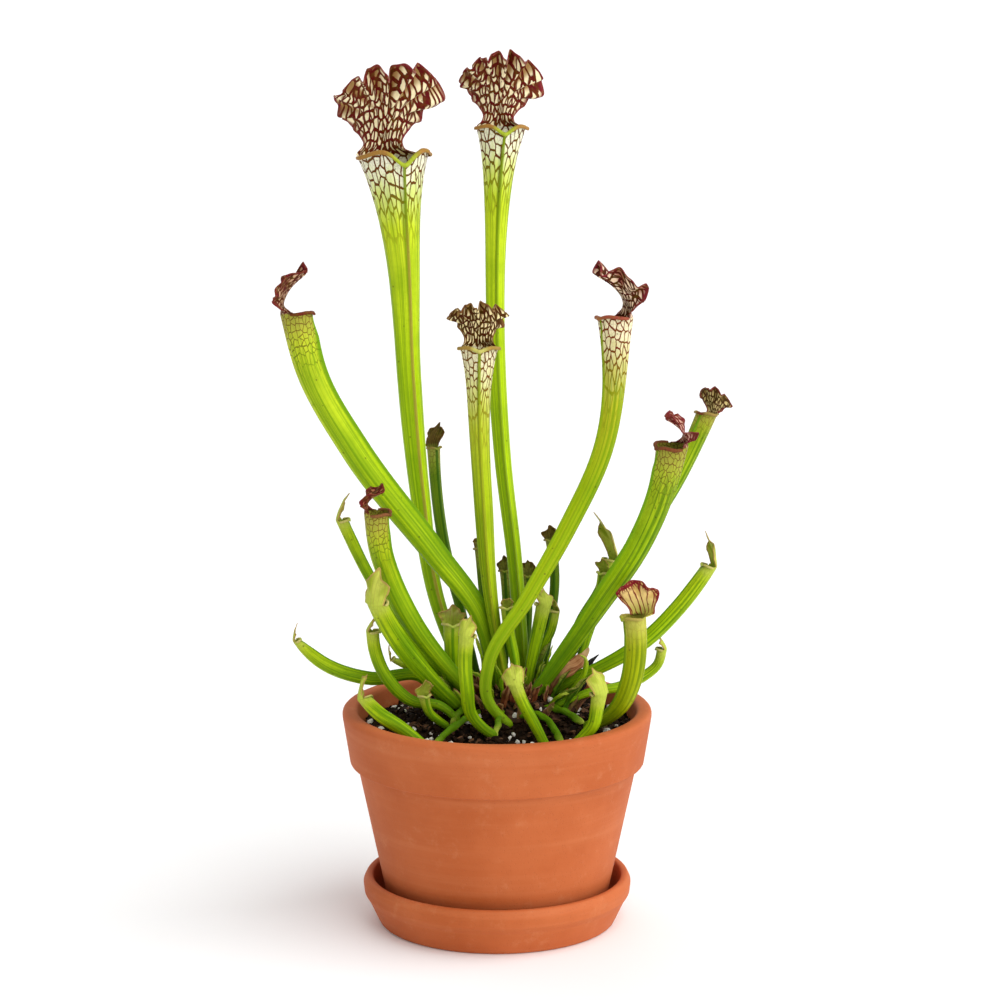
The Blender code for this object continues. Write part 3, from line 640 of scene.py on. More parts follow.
def leafPiece(name, leaf, skins, dice, *nodes):
    footWidth, tubeWidth, mouthWidth = leaf["widths"]
    isBig, hasHood = mouthWidth >= bigMouth, "hood" in leaf
    d = detail["large" if mouthWidth > 17 else "middle" if isBig else "small"]
    half = np.concatenate([np.linspace(hoodSpan, keelSide, d["side"] + 1)[1:],
                           np.linspace(keelSide, math.pi, d["keel"] + 1)[1:]])
    angles = np.concatenate([-half[::-1], np.linspace(-hoodSpan, hoodSpan, d["hood"] + 1), half])
    shares = np.linspace(0, 1, d["tube"] + 1)
    shares = 0.3 * shares + 0.35 * (1 - np.cos(math.pi * shares))
    cap, capRows = len(shares), d["cap"] if hasHood else 0      # hood and lip start at row cap
    columns, rows = len(angles), cap + capRows

    # middle line, sunk a little into the ground at the foot
    x, y = leaf["spine"][0]
    line = smoothLine([(x, y, float(groundHeight(x, y)) - 1.0)] + leaf["spine"][1:], shares)
    along, front, side = carryFrames(line, leaf["faces"])
    lengths = np.concatenate([[0], np.cumsum(np.linalg.norm(np.diff(line, axis=0), axis=1))])
    total = lengths[-1]
    radii = (footWidth + (tubeWidth - footWidth) * smoothStep(lengths / total, 0, 0.6)
             + (mouthWidth - tubeWidth) * np.exp((lengths - total) / leaf.get("flare", 8))) / 2
    if not hasHood:
        radii = radii * np.sqrt(np.clip((1 - lengths / total) / 0.25, 0, 1))
    radii = radii * np.sqrt(np.clip(lengths / 3.0, 0, 1))
    wobble = dice.uniform(0, 50)
    radii = radii * (1 + 0.025 * np.array([noise.noise(Vector((s * 0.03, wobble, 0))) for s in lengths]))
    tube, ridge = tubeSheet(leaf, angles, lengths, radii, line, along, front, side)
    points = np.zeros((rows, columns, 3))
    points[:cap] = tube

    # what the skin reads at each vertex
    marks = {label: np.zeros((rows, columns)) for label in ("reach", "lip", "hood", "edge", "margin", "fold")}
    marks["reach"][:cap] = (lengths - total)[:, None]
    marks["along"] = np.ones((rows, columns))
    marks["along"][:cap] = (lengths / total)[:, None]
    marks["keel"] = np.concatenate([ridge, np.repeat(ridge[-1:], capRows, 0)])
    marks["spout"] = np.repeat(np.exp(-((math.pi - np.abs(angles)) / 0.55) ** 2)[None], rows, 0)
    marks["across"] = np.repeat((angles / math.tau)[None], rows, 0)
    stretch = 1.5 + 3.5 * smoothStep(total - lengths, 5, 60)
    drawn = np.concatenate([[0], np.cumsum(np.diff(lengths) / stretch[1:])])
    veinX = np.repeat((angles * radii[-1])[None], rows, 0)
    veinY = np.zeros((rows, columns))
    veinY[:cap] = (drawn - drawn[-1])[:, None]

    if hasHood:
        isHood = np.abs(angles) <= hoodSpan + 1e-6
        inHood = np.where(isHood)[0]
        grid = 1 - (1 - np.linspace(0, 1, capRows + 1)) ** 1.2
        w, u = grid[1:], angles[isHood] / hoodSpan
        sheet, high, hoodHalf, edge, margin, fold = hoodSheet(
            np.repeat(u[None], len(grid), 0), np.repeat(grid[:, None], len(u), 1), leaf,
            line[-1], along[-1], front[-1], side[-1], radii[-1], dice)
        joinUp = (tube[-1, inHood] - sheet[0])[None] * (1 - smoothStep(w, 0, 0.3))[:, None, None]
        points[cap:, inHood] = sheet[1:] + joinUp
        for label, values in (("reach", high), ("edge", edge), ("margin", margin), ("fold", fold)):
            marks[label][cap:, inHood] = values[1:]
        marks["hood"][cap:, inHood] = smoothStep(w * leaf["hood"][1], -1, 1.5)[:, None]
        mixIn = smoothStep(w, 0, 0.2)[:, None]
        veinX[cap:, inHood] = veinX[cap:, inHood] * (1 - mixIn) + u[None] * (hoodHalf[1:] + 8) * mixIn
        narrow = 1.35 - 0.2 * smoothStep(w, 0.1, 0.8)
        middle = np.concatenate([[0], high[1:, len(u) // 2]])
        veinY[cap:, inHood] = np.cumsum(np.diff(middle) / narrow)[:, None]
        # the lip rolls outwards round the rest of the rim
        roll = 0.25 + 0.016 * mouthWidth
        fadeIn = roll * (0.35 + 0.65 * smoothStep(np.abs(angles), hoodSpan, hoodSpan + 0.5))[:, None]
        outward = side[-1] * np.sin(angles)[:, None] - front[-1] * np.cos(angles)[:, None]
        for j in range(capRows):
            a = math.radians(235) * min((j + 1) / d["lip"], 1)
            rolled = tube[-1] + outward * fadeIn * (1 - math.cos(a)) + along[-1] * fadeIn * math.sin(a)
            points[cap + j, ~isHood] = rolled[~isHood]
        marks["reach"][cap:, ~isHood] = 0.5
        marks["lip"][cap:, ~isHood] = 1
        marks["lip"][cap - 1, ~isHood] = 0.4
        veinY[cap:, ~isHood] = 0.3

    # a grid is rolled up into this shape
    piece, column, row = gridPiece(name, columns, rows)
    moveVertices(piece, points[row, column])
    mesh = piece.data
    corners = np.zeros(len(mesh.loops), int)
    mesh.loops.foreach_get("vertex_index", corners)
    for label, flatX, flatY in (("veinMap", veinX, veinY), ("stripeMap", marks["across"], marks["along"])):
        layer = mesh.uv_layers.new(name=label)
        uv = np.stack([flatX[row, column][corners], flatY[row, column][corners]], 1)
        layer.data.foreach_set("uv", uv.astype(np.float32).ravel())
    mesh.uv_layers.remove(mesh.uv_layers[0])
    for label, values in marks.items():
        layer = mesh.attributes.new(label, "FLOAT", "POINT")
        layer.data.foreach_set("value", values[row, column].astype(np.float32))
    mesh.update()

    # the slits beside the hood and the rows past the lip are cut away
    if hasHood:
        faceColumn = np.array([min(column[v] for v in f.vertices) for f in mesh.polygons])
        faceRow = np.array([min(row[v] for v in f.vertices) for f in mesh.polygons])
        slit = (faceColumn == inHood[0] - 1) | (faceColumn == inHood[-1])
        past = ((faceColumn < inHood[0]) | (faceColumn >= inHood[-1])) & (faceRow >= cap - 1 + d["lip"])
        cutAway(piece, (slit & (faceRow >= cap - 1)) | past)
    weld(piece)
    if hasHood:
        useModifier(piece, "SOLIDIFY", thickness=d["skin"] * mm, offset=-1, use_even_offset=False)
    kind = leaf.get("look", "young")
    look = dict(looks[kind])
    look.update({key: leaf[key] for key in look if key in leaf})
    same = json.dumps(look)     # leaves that look the same share one skin
    if same not in skins:
        skins[same] = leafSkin(name + "Skin", look)
    slot = {"dried": "dry_leaf", "dead": "dead_leaf"}.get(kind, "leaf_green" if isBig else "young_green")
    return finish(piece, skins[same], slot, *nodes, angle=70)


# the deep hood tones are painted shade for the folds of the hood
youngLook = dict(
    footTone=(0.15, 0.30, 0.003), midTone=(0.34, 0.53, 0.003), topTone=(0.48, 0.60, 0.01),
    darkTone=(0.08, 0.20, 0.0015), cell=(0.46, 0.54, 0.06), vein=(0.28, 0.32, 0.02),
    lowVein=(0.22, 0.34, 0.01), hoodCell=(0.56, 0.58, 0.09), hoodDeep=(0.26, 0.32, 0.012),
    hoodVein=(0.34, 0.26, 0.05), edgeTone=(0.44, 0.27, 0.08), lipTone=(0.52, 0.46, 0.14),
    notchTone=(0.44, 0.52, 0.08), keelTone=(0.14, 0.30, 0.004), net=(10, 1), scale=0.55, thick=0.05,
    heavy=-0.02, streak=0.75, rimVein=0.02, hoodClear=0.5, rimWash=0.0, keelLow=(0.12, 0.27, 0.003),
    bleed=14, rays=16, bold=0.05, rayed=0.9, clear=0.4)
looks = {
    "young": youngLook,
    "lace": dict(
        youngLook, footTone=(0.19, 0.35, 0.003), midTone=(0.48, 0.69, 0.005), topTone=(0.68, 0.78, 0.03),
        darkTone=(0.17, 0.32, 0.002), cell=(0.90, 0.88, 0.68), vein=(0.13, 0.03, 0.008),
        lowVein=(0.30, 0.34, 0.008), hoodCell=(1.0, 0.86, 0.55), hoodDeep=(0.34, 0.15, 0.03),
        hoodVein=(0.12, 0.002, 0.004), edgeTone=(0.20, 0.012, 0.025), lipTone=(0.36, 0.17, 0.04),
        notchTone=(0.36, 0.43, 0.03), keelTone=(0.19, 0.27, 0.005), net=(42, 4), scale=0.27, thick=0.10,
        heavy=0.05, streak=0.7, hoodClear=1.0, keelLow=(0.24, 0.36, 0.006), bleed=1, rays=27, bold=0.17,
        rayed=0.0, clear=1.0),
    "bronze": dict(
        youngLook, footTone=(0.20, 0.33, 0.005), midTone=(0.42, 0.56, 0.008), topTone=(0.66, 0.68, 0.05),
        darkTone=(0.14, 0.24, 0.0015), cell=(0.90, 0.84, 0.55), vein=(0.17, 0.06, 0.012),
        lowVein=(0.34, 0.34, 0.015), hoodCell=(1.0, 0.84, 0.45), hoodDeep=(0.26, 0.12, 0.02),
        hoodVein=(0.075, 0.012, 0.002), edgeTone=(0.20, 0.08, 0.025), lipTone=(0.36, 0.22, 0.05),
        notchTone=(0.52, 0.48, 0.12), keelTone=(0.22, 0.28, 0.008), net=(44, 3), scale=0.36, thick=0.10,
        heavy=0.05, streak=0.7, rimVein=0.03, hoodClear=1.0, rimWash=0.08, keelLow=(0.30, 0.34, 0.01),
        bleed=1, rays=27, bold=0.17, rayed=0.0, clear=1.0),
    "olive": dict(
        youngLook, footTone=(0.12, 0.26, 0.003), midTone=(0.30, 0.48, 0.002), topTone=(0.44, 0.54, 0.015),
        darkTone=(0.06, 0.17, 0.0015), cell=(0.46, 0.48, 0.06), vein=(0.15, 0.05, 0.01),
        lowVein=(0.14, 0.20, 0.006), hoodCell=(0.62, 0.36, 0.20), hoodDeep=(0.18, 0.04, 0.015),
        hoodVein=(0.11, 0.006, 0.01), edgeTone=(0.17, 0.01, 0.018), lipTone=(0.16, 0.04, 0.018),
        notchTone=(0.16, 0.04, 0.018), net=(30, 2), scale=0.45, thick=0.07, heavy=0.06, rimVein=0.05,
        hoodClear=1.0, rimWash=0.3, keelLow=(0.14, 0.30, 0.004), bleed=1, rays=20, bold=0.13, rayed=0.0,
        clear=0.85),
    "cream": dict(
        youngLook, footTone=(0.17, 0.30, 0.004), midTone=(0.33, 0.40, 0.002), topTone=(0.42, 0.46, 0.006),
        darkTone=(0.12, 0.19, 0.0015), cell=(0.50, 0.50, 0.08), vein=(0.28, 0.14, 0.02),
        lowVein=(0.20, 0.22, 0.01), hoodCell=(0.95, 0.68, 0.26), hoodDeep=(0.66, 0.42, 0.11),
        hoodVein=(0.22, 0.012, 0.02), edgeTone=(0.25, 0.005, 0.025), lipTone=(0.40, 0.32, 0.07),
        notchTone=(0.40, 0.44, 0.05), keelTone=(0.14, 0.25, 0.005), net=(18, 2), scale=0.40, thick=0.06,
        heavy=0.0, streak=0.7, rimVein=0.2, hoodClear=1.0, rimWash=0.1, keelLow=(0.14, 0.25, 0.005),
        bleed=12, rays=15, bold=0.1, rayed=1.0, clear=0.25),
    "shade": dict(
        youngLook, footTone=(0.06, 0.13, 0.003), midTone=(0.10, 0.20, 0.004), topTone=(0.22, 0.30, 0.012),
        darkTone=(0.04, 0.11, 0.003), cell=(0.32, 0.34, 0.06), vein=(0.12, 0.08, 0.01),
        lowVein=(0.09, 0.13, 0.005), hoodCell=(0.42, 0.40, 0.09), hoodDeep=(0.16, 0.12, 0.02),
        hoodVein=(0.09, 0.05, 0.01), edgeTone=(0.16, 0.07, 0.015), lipTone=(0.26, 0.19, 0.05),
        notchTone=(0.22, 0.26, 0.03), keelTone=(0.04, 0.11, 0.003), net=(16, 2), scale=0.5, thick=0.06,
        heavy=0.02, streak=0.7, rimVein=0.03, hoodClear=0.9, rimWash=0.1, keelLow=(0.04, 0.11, 0.003),
        bleed=3, rays=20, bold=0.1, rayed=0.6, clear=0.7),
    "dried": dict(
        youngLook, footTone=(0.36, 0.10, 0.03), midTone=(0.52, 0.27, 0.12), topTone=(0.40, 0.16, 0.06),
        darkTone=(0.24, 0.07, 0.025), cell=(0.6, 0.4, 0.2), vein=(0.3, 0.1, 0.04),
        lowVein=(0.30, 0.12, 0.05), keelTone=(0.20, 0.06, 0.02), net=(10, 2), scale=0.5, streak=0.9,
        keelLow=(0.20, 0.06, 0.02), clear=0.2),
    "husk": dict(
        youngLook, footTone=(0.20, 0.04, 0.012), midTone=(0.34, 0.12, 0.04), topTone=(0.42, 0.24, 0.09),
        darkTone=(0.12, 0.025, 0.01), cell=(0.4, 0.2, 0.1), vein=(0.2, 0.05, 0.02),
        lowVein=(0.2, 0.06, 0.02), keelTone=(0.12, 0.03, 0.012), net=(10, 2), scale=0.5, streak=0.9,
        keelLow=(0.12, 0.03, 0.012), clear=0.2),
    "dead": dict(
        youngLook, footTone=(0.03, 0.02, 0.012), midTone=(0.014, 0.010, 0.009),
        topTone=(0.018, 0.012, 0.010), darkTone=(0.008, 0.006, 0.006), cell=(0.02, 0.02, 0.02),
        vein=(0.01, 0.01, 0.01), lowVein=(0.01, 0.01, 0.01), keelTone=(0.008, 0.006, 0.006), net=(10, 2),
        scale=0.5, streak=0.8, keelLow=(0.008, 0.006, 0.006), clear=0.2),
}


def leafSkin(name, look):
    skin = Shader(name, Specular_IOR_Level=0.07)
    veins, stripes = skin.map("veinMap"), skin.map("stripeMap")
    reach, along = skin.attribute("reach"), skin.attribute("along")
    lip, hood, edge, margin, keel = (skin.attribute(n) for n in ("lip", "hood", "edge", "margin", "keel"))
    # green, from the foot to the mouth, with long streaks and broad bands of painted shade
    green = skin.blend(along.ease(0.0, 0.38), look["footTone"], look["midTone"])
    green = skin.blend(along.ease(0.55, 1.0), green, look["topTone"])
    streak = skin.noise(skin.scaled(stripes, 22, 0.9, 1), 1.0, 2, 0.5)
    thread = skin.noise(skin.scaled(stripes, 75, 1.4, 1), 1.0, 2, 0.5)
    cloud = skin.noise(skin.place(), 38, 3, 0.55)
    # painted shade: broad dark bands along the tube
    shadeBand = skin.noise(skin.scaled(stripes, 5, 1.1, 1), 1.0, 2, 0.5)
    green = skin.blend(shadeBand.ease(0.46, 0.68, 0, 0.75), green, look["darkTone"])
    green = skin.blend(streak.ease(0.48, 0.62) * look["streak"], green, look["darkTone"])
    green = skin.blend(thread.ease(0.5, 0.66) * (0.45 * look["streak"]), green, look["darkTone"])
    green = skin.blend(thread.ease(0.5, 0.36) * 0.3, green, look["topTone"])
    green = skin.blend(cloud.ease(0.45, 0.7) * 0.35, green, look["darkTone"])
    # net of veins round pale cells, which are long and green further down
    spread = skin.noise(veins, 0.35, 2, 0.5, out=1)
    warped = skin.shifted(veins, 1.6, spread)
    gap = skin.cells(warped, look["scale"], flat=True)
    fine = skin.cells(warped, look["scale"] * 2.1, flat=True)
    deep, full = look["net"]
    patchy = (skin.noise(veins, 0.16, 2, 0.5) - 0.5) * (0.5 * deep) + reach
    halfway = skin.blend(0.5, look["topTone"], look["cell"])
    pale = skin.blend(patchy.ease(-0.65 * deep, -2), halfway, look["cell"])
    cell = skin.blend(patchy.ease(-deep, -full), green, pale)
    cell = skin.blend(reach.ease(-16, 0) * look["rimWash"], cell, look["vein"])
    # painted shade: the hood's cells turn to the deep fold tone where the ruffles fold back
    hoodCell = skin.blend(skin.attribute("fold").ease(0.35, 0.95, 0, 0.9), look["hoodCell"], look["hoodDeep"])
    cell = skin.blend(hood * reach.ease(0, look["bleed"]), cell, hoodCell)
    corner = hood * reach.ease(2, 12, 0.03, 0)
    thickness = hood * (0.01 + look["heavy"]) + edge * look["rimVein"] + look["thick"] + corner
    lace = (gap - thickness).ease(-0.025, 0.025, 1, 0)
    lace = lace * (1 - hood * edge.ease(0.6, 0.95, look["rayed"], 0))
    rays = (skin.attribute("across") * look["rays"] + skin.noise(veins, 0.12, 2, 0.5) * 1.1).mirrored(0.5)
    bold = rays - reach.ease(3, 32, look["bold"], 0.4 * look["bold"])
    lace = lace.over(bold.ease(-0.05, 0.06, 0.97, 0) * hood)
    fineLace = (fine - thickness * 0.3).ease(-0.03, 0.05, 0.5, 0)
    shown = (patchy.ease(-1.6 * deep, -0.7 * deep) * look["clear"]).over(hood * look["hoodClear"])
    lace = (lace.over(fineLace * reach.ease(-0.5 * deep, 0) * (1 - hood))) * shown
    veinTone = skin.blend(reach.ease(-0.95 * deep, -0.3 * deep), look["lowVein"], look["vein"])
    veinTone = skin.blend(hood, veinTone, look["hoodVein"])
    colour = skin.blend(lace, cell, veinTone)
    colour = skin.blend(margin.ease(0.25, 0.7, 0, 0.9), colour, look["edgeTone"])
    keelColour = skin.blend(along.ease(0.8, 0.92), look["keelLow"], look["keelTone"])
    colour = skin.blend(keel.ease(0.15, 0.6, 0, 0.92) * (1 - hood), colour, keelColour)
    lipTone = skin.blend(skin.attribute("spout").ease(0.4, 0.9), look["lipTone"], look["notchTone"])
    colour = skin.blend(lip, colour, lipTone)
    speck = skin.cells(skin.place(), 170, "F1", 1.0)
    colour = skin.blend(speck.ease(0.06, 0.12, 0.5, 0), colour, (0.05, 0.02, 0.008))
    mottle = skin.noise(skin.place(), 420, 3, 0.6)
    colour = skin.blend(mottle.ease(0.35, 0.75, 0, 0.15), colour, look["darkTone"])
    height = lace * 0.5 + streak * 0.5 + thread * 0.6 + mottle * 0.25
    return skin.finish(colour, mottle * 0.15 + lace * 0.08 + 0.38, skin.bump(height, 0.00045, 0.7))


# soil, chips and rhizome

soilShape = dict(radius=70.4, rings=76, sides=240, lump=2.0, depth=5, sink=0.6,
                 waves=[(1, 0.12), (0.9, 0.3), (0.55, 0.8)], scatterRadius=68.5)


def makeSoil():
    s = soilShape
    piece, column, row = gridPiece("soilBed", s["sides"] + 1, s["rings"] + 1)
    angle = column / s["sides"] * math.tau
    radius = row / s["rings"] * s["radius"]
    x, y = radius * np.cos(angle), radius * np.sin(angle)
    z = soilHeight(x, y) - s["sink"]
    for i, place in enumerate(zip(x, y)):
        p = Vector((*place, 0))
        z[i] += s["lump"] * sum(share * noise.noise(p * scale) for share, scale in s["waves"])
    moveVertices(piece, np.stack([x, y, z], 1))
    weld(piece)
    if piece.data.polygons[0].normal.z < 0:
        piece.data.flip_normals()
    useModifier(piece, "SOLIDIFY", thickness=s["depth"] * mm, offset=-1)
    peat = Shader("wetPeat", Specular_IOR_Level=0.07)
    spot = peat.place()
    lumps = peat.noise(spot, 160, 5, 0.7)
    fibres = peat.cells(spot, 420, "F1", 1.0)
    colour = peat.blend(lumps.ease(0.35, 0.75), (0.004, 0.002, 0.001), (0.035, 0.017, 0.007))
    colour = peat.blend(fibres.ease(0.0, 0.2, 0.35, 0), colour, (0.10, 0.05, 0.022))
    bump = peat.bump(lumps + fibres * 0.5, 0.0012, 0.9)
    return finish(piece, peat.finish(colour, lumps * 0.3 + 0.62, bump), "peat", "soil", angle=80)


def grain(name, roughness, subdivisions, seed):
    # one lump that a whole scatter is copied from
    clearSelection()
    bpy.ops.mesh.primitive_ico_sphere_add(subdivisions=subdivisions, radius=1)
    piece = named(name)
    for v in piece.data.vertices:
        v.co *= 1 + roughness * noise.noise(v.co * 1.7 + Vector((seed, seed, 0)))
    return takeShape(piece)


def scatter(name, sources, spots):
    # copies of the sources, each turned, stretched and placed, in one mesh
    allVerts, allFaces, count = [], [], 0
    for k, (position, turn, size) in enumerate(spots):
        verts, faces = sources[k % len(sources)]
        turned = (verts * np.array(size)) @ np.array(turn).T + np.array(position)
        allVerts.append(turned)
        allFaces.append(faces + count)
        count += len(verts)
    mesh = bpy.data.meshes.new(name)
    mesh.from_pydata((np.concatenate(allVerts) * mm).tolist(), [], np.concatenate(allFaces).tolist())
    piece = bpy.data.objects.new(name, mesh)
    bpy.context.collection.objects.link(piece)
    return piece


def randomTurn(dice, tilt=math.pi):
    turn = Matrix.Rotation(dice.uniform(0, math.tau), 3, "Z")
    turn = turn @ Matrix.Rotation(dice.uniform(-tilt, tilt), 3, "X")
    return turn @ Matrix.Rotation(dice.uniform(-tilt, tilt), 3, "Y")


def soilSpots(dice, number, sizes, flatness, sink, tilt=math.pi, inner=0.75, near=None):
    # spots all over the soil, or gathered round the places in near
    spots = []
    reach = soilShape["scatterRadius"]
    while len(spots) < number:
        angle, radius = dice.uniform(0, math.tau), reach * math.sqrt(dice.random())
        x, y = radius * math.cos(angle), radius * math.sin(angle)
        if near:
            cx, cy = dice.choice(near)
            x, y = cx + dice.gauss(0, 5), cy + dice.gauss(0, 4)
        if crownDistance(x, y) < inner or math.hypot(x, y) > reach:
            continue
        size = dice.uniform(*sizes)
        z = float(groundHeight(x, y)) + size * sink
        stretch = (size * dice.uniform(0.8, 1.5), size * dice.uniform(0.6, 1.0),
                   size * flatness * dice.uniform(0.7, 1.3))
        spots.append(((x, y, z), randomTurn(dice, tilt), stretch))
    return spots


# loose pieces: how many, their sizes, how flat they lie and how far they stand out of the soil
loose = dict(
    crumbs=dict(number=2600, sizes=(0.5, 2.1), flatness=0.8, sink=0.15, inner=0),
    bark=dict(number=280, sizes=(0.8, 2.8), flatness=0.35, sink=0.35, tilt=0.9, inner=0.4),
    pearls=dict(number=130, sizes=(0.6, 1.9), flatness=0.8, sink=0.9),
    heaps=dict(number=90, sizes=(0.8, 2.2), flatness=0.8, sink=1.0,
               near=[(-24, -52), (-10, -60), (30, -56), (-44, -40)]),
)


def makeChips():
    dice = random.Random(11)
    crumbs = [grain("crumb", 0.7, 1, k) for k in range(5)]
    chips = [grain("chip", 0.5, 1, k + 20) for k in range(4)]
    pearls = [grain("pearl", 0.35, 2, k + 40) for k in range(4)]

    dark = Shader("darkCrumbs", Specular_IOR_Level=0.07)
    tone = dark.noise(dark.place(), 240, 4, 0.6)
    colour = dark.blend(tone.ease(0.3, 0.7), (0.004, 0.0022, 0.0012), (0.034, 0.017, 0.008))
    crumbPiece = scatter("soilCrumbs", crumbs, soilSpots(dice, **loose["crumbs"]))
    finish(crumbPiece, dark.finish(colour, tone * 0.3 + 0.6, dark.bump(tone, 0.0006, 0.8)), "peat", angle=35)

    bark = Shader("barkChips", Specular_IOR_Level=0.15)
    tone = bark.noise(bark.scaled(bark.place(), 1, 1, 2.5), 300, 4, 0.6)
    colour = bark.blend(tone.ease(0.3, 0.72), (0.012, 0.006, 0.003), (0.20, 0.09, 0.04))
    barkPiece = scatter("barkChips", chips, soilSpots(dice, **loose["bark"]))
    barkSkin = bark.finish(colour, tone * 0.2 + 0.65, bark.bump(tone, 0.0005, 0.8))
    finish(barkPiece, barkSkin, "rhizome_bark", angle=35)

    pearl = Shader("perlite")
    tone = pearl.noise(pearl.place(), 700, 4, 0.7)
    pits = pearl.cells(pearl.place(), 1500, "F1", 1.0)
    colour = pearl.blend(tone.ease(0.35, 0.7), (0.62, 0.58, 0.50), (0.86, 0.84, 0.78))
    colour = pearl.blend(pits.ease(0.0, 0.3, 0.3, 0), colour, (0.36, 0.30, 0.24))
    spots = soilSpots(dice, **loose["pearls"]) + soilSpots(dice, **loose["heaps"])
    pearlPiece = scatter("perlite", pearls, spots)
    finish(pearlPiece, pearl.finish(colour, 0.85, pearl.bump(pits + tone, 0.0005, 0.7)), "peat", angle=40)


def makeRhizome():
    (cx, cy), (a, b), h = ground["crown"], ground["crownHalf"], ground["crownHeight"]
    clearSelection()
    bpy.ops.mesh.primitive_uv_sphere_add(segments=120, ring_count=60, radius=1)
    piece = named("rhizomeCrown")
    bpy.ops.object.mode_set(mode="EDIT")
    bpy.ops.mesh.select_all(action="SELECT")
    bpy.ops.mesh.bisect(plane_co=(0, 0, -0.25), plane_no=(0, 0, 1), clear_inner=True, use_fill=True)
    bpy.ops.object.mode_set(mode="OBJECT")
    for v in piece.data.vertices:
        p = v.co.copy()
        knob = 0.09 * noise.noise(p * 3.1) + 0.06 * noise.noise(p * 7) + 0.03 * noise.noise(p * 15)
        p = p * (0.985 + knob)
        v.co = Vector((cx + p.x * a, cy + p.y * b, ground["top"] + ground["gap"] + p.z * h)) * mm
    bark = Shader("rhizomeBark", Specular_IOR_Level=0.15)
    spot = bark.place()
    scales = bark.cells(bark.scaled(spot, 1, 1, 0.6), 190, "F1", 1.0)
    grime = bark.noise(spot, 120, 5, 0.65)
    colour = bark.blend(grime.ease(0.35, 0.7), (0.012, 0.007, 0.004), (0.09, 0.035, 0.016))
    colour = bark.blend(scales.ease(0.1, 0.5, 0.4, 0), colour, (0.13, 0.045, 0.02))
    height = scales + grime * 0.7
    return finish(piece, bark.finish(colour, grime * 0.2 + 0.6, bark.bump(height, 0.0015, 0.9)),
                  "rhizome_bark", "rhizome", angle=80)


# old leaf bases, dry and split, stand between the feet of the leaves
stubs = dict(number=46, room=4.2, tilt=(0.2, 0.9), width=(1.2, 2.4), height=(5, 12), sink=1.5)


def makeStubs():
    dice = random.Random(5)
    clearSelection()
    bpy.ops.mesh.primitive_cone_add(vertices=9, radius1=1, radius2=0.45, depth=1, end_fill_type="TRIFAN",
                                    location=(0, 0, 0.5))
    piece = named("stub")
    bpy.ops.object.transform_apply(location=True)
    bpy.ops.object.mode_set(mode="EDIT")
    bpy.ops.mesh.select_all(action="SELECT")
    bpy.ops.mesh.subdivide(number_cuts=2)
    bpy.ops.object.mode_set(mode="OBJECT")
    for v in piece.data.vertices:
        v.co.x += 0.5 * v.co.z ** 2
        v.co += 0.22 * noise.noise_vector(v.co * 2.4) * (0.3 + v.co.z)
    bpy.ops.object.mode_set(mode="EDIT")
    bpy.ops.mesh.quads_convert_to_tris()
    bpy.ops.object.mode_set(mode="OBJECT")
    source = takeShape(piece)
    feet = [leaf["spine"][0] for leaf in leaves.values()]
    spots = []
    while len(spots) < stubs["number"]:
        angle, d = dice.uniform(0, math.tau), math.sqrt(dice.random()) * 1.02
        x = ground["crown"][0] + ground["crownHalf"][0] * d * math.cos(angle)
        y = ground["crown"][1] + ground["crownHalf"][1] * d * math.sin(angle)
        if min(math.hypot(x - fx, y - fy) for fx, fy in feet) < stubs["room"]:
            continue
        outward = Matrix.Rotation(angle, 3, "Z") @ Matrix.Rotation(dice.uniform(*stubs["tilt"]), 3, "Y")
        size = dice.uniform(*stubs["width"])
        foot = (x, y, float(groundHeight(x, y)) - stubs["sink"])
        spots.append((foot, outward, (size, size * 0.8, dice.uniform(*stubs["height"]))))
    husk = Shader("dryHusk")
    tone = husk.noise(husk.scaled(husk.place(), 1, 1, 0.25), 500, 4, 0.65)
    blotch = husk.noise(husk.place(), 70, 3, 0.6)
    colour = husk.blend(tone.ease(0.3, 0.7), (0.13, 0.04, 0.018), (0.40, 0.17, 0.075))
    colour = husk.blend(blotch.ease(0.45, 0.65, 0, 0.7), colour, (0.24, 0.26, 0.03))
    bases = scatter("oldLeafBases", [source], spots)
    finish(bases, husk.finish(colour, tone * 0.2 + 0.6, husk.bump(tone, 0.0006, 0.9)), "dry_leaf", angle=60)


# small blades, old bases and bracts that crowd the crown, with no part of their own below

tuft = dict(
    blades=44, blade=dict(far=(6, 18), high=(8, 26), size=(2.2, 4.0), flat=0.45),
    husks=40, husk=dict(far=(3, 9), high=(5, 14), size=(3.0, 5.5), flat=0.25),
    petioles=[
        [(24, -6), (35, -11, 113), (46, -14, 105)],
        [(18, -12), (26, -26, 112), (34, -42, 102)],
        [(10, -14), (18, -27, 112), (25, -38, 103)],
        [(3, -12), (1, -21, 113), (0, -30, 105)],
        [(-12, -8), (-18, -13, 114), (-24, -17, 106)],
        [(-8, -12), (-20, -28, 111), (-34, -42, 102)],
    ])


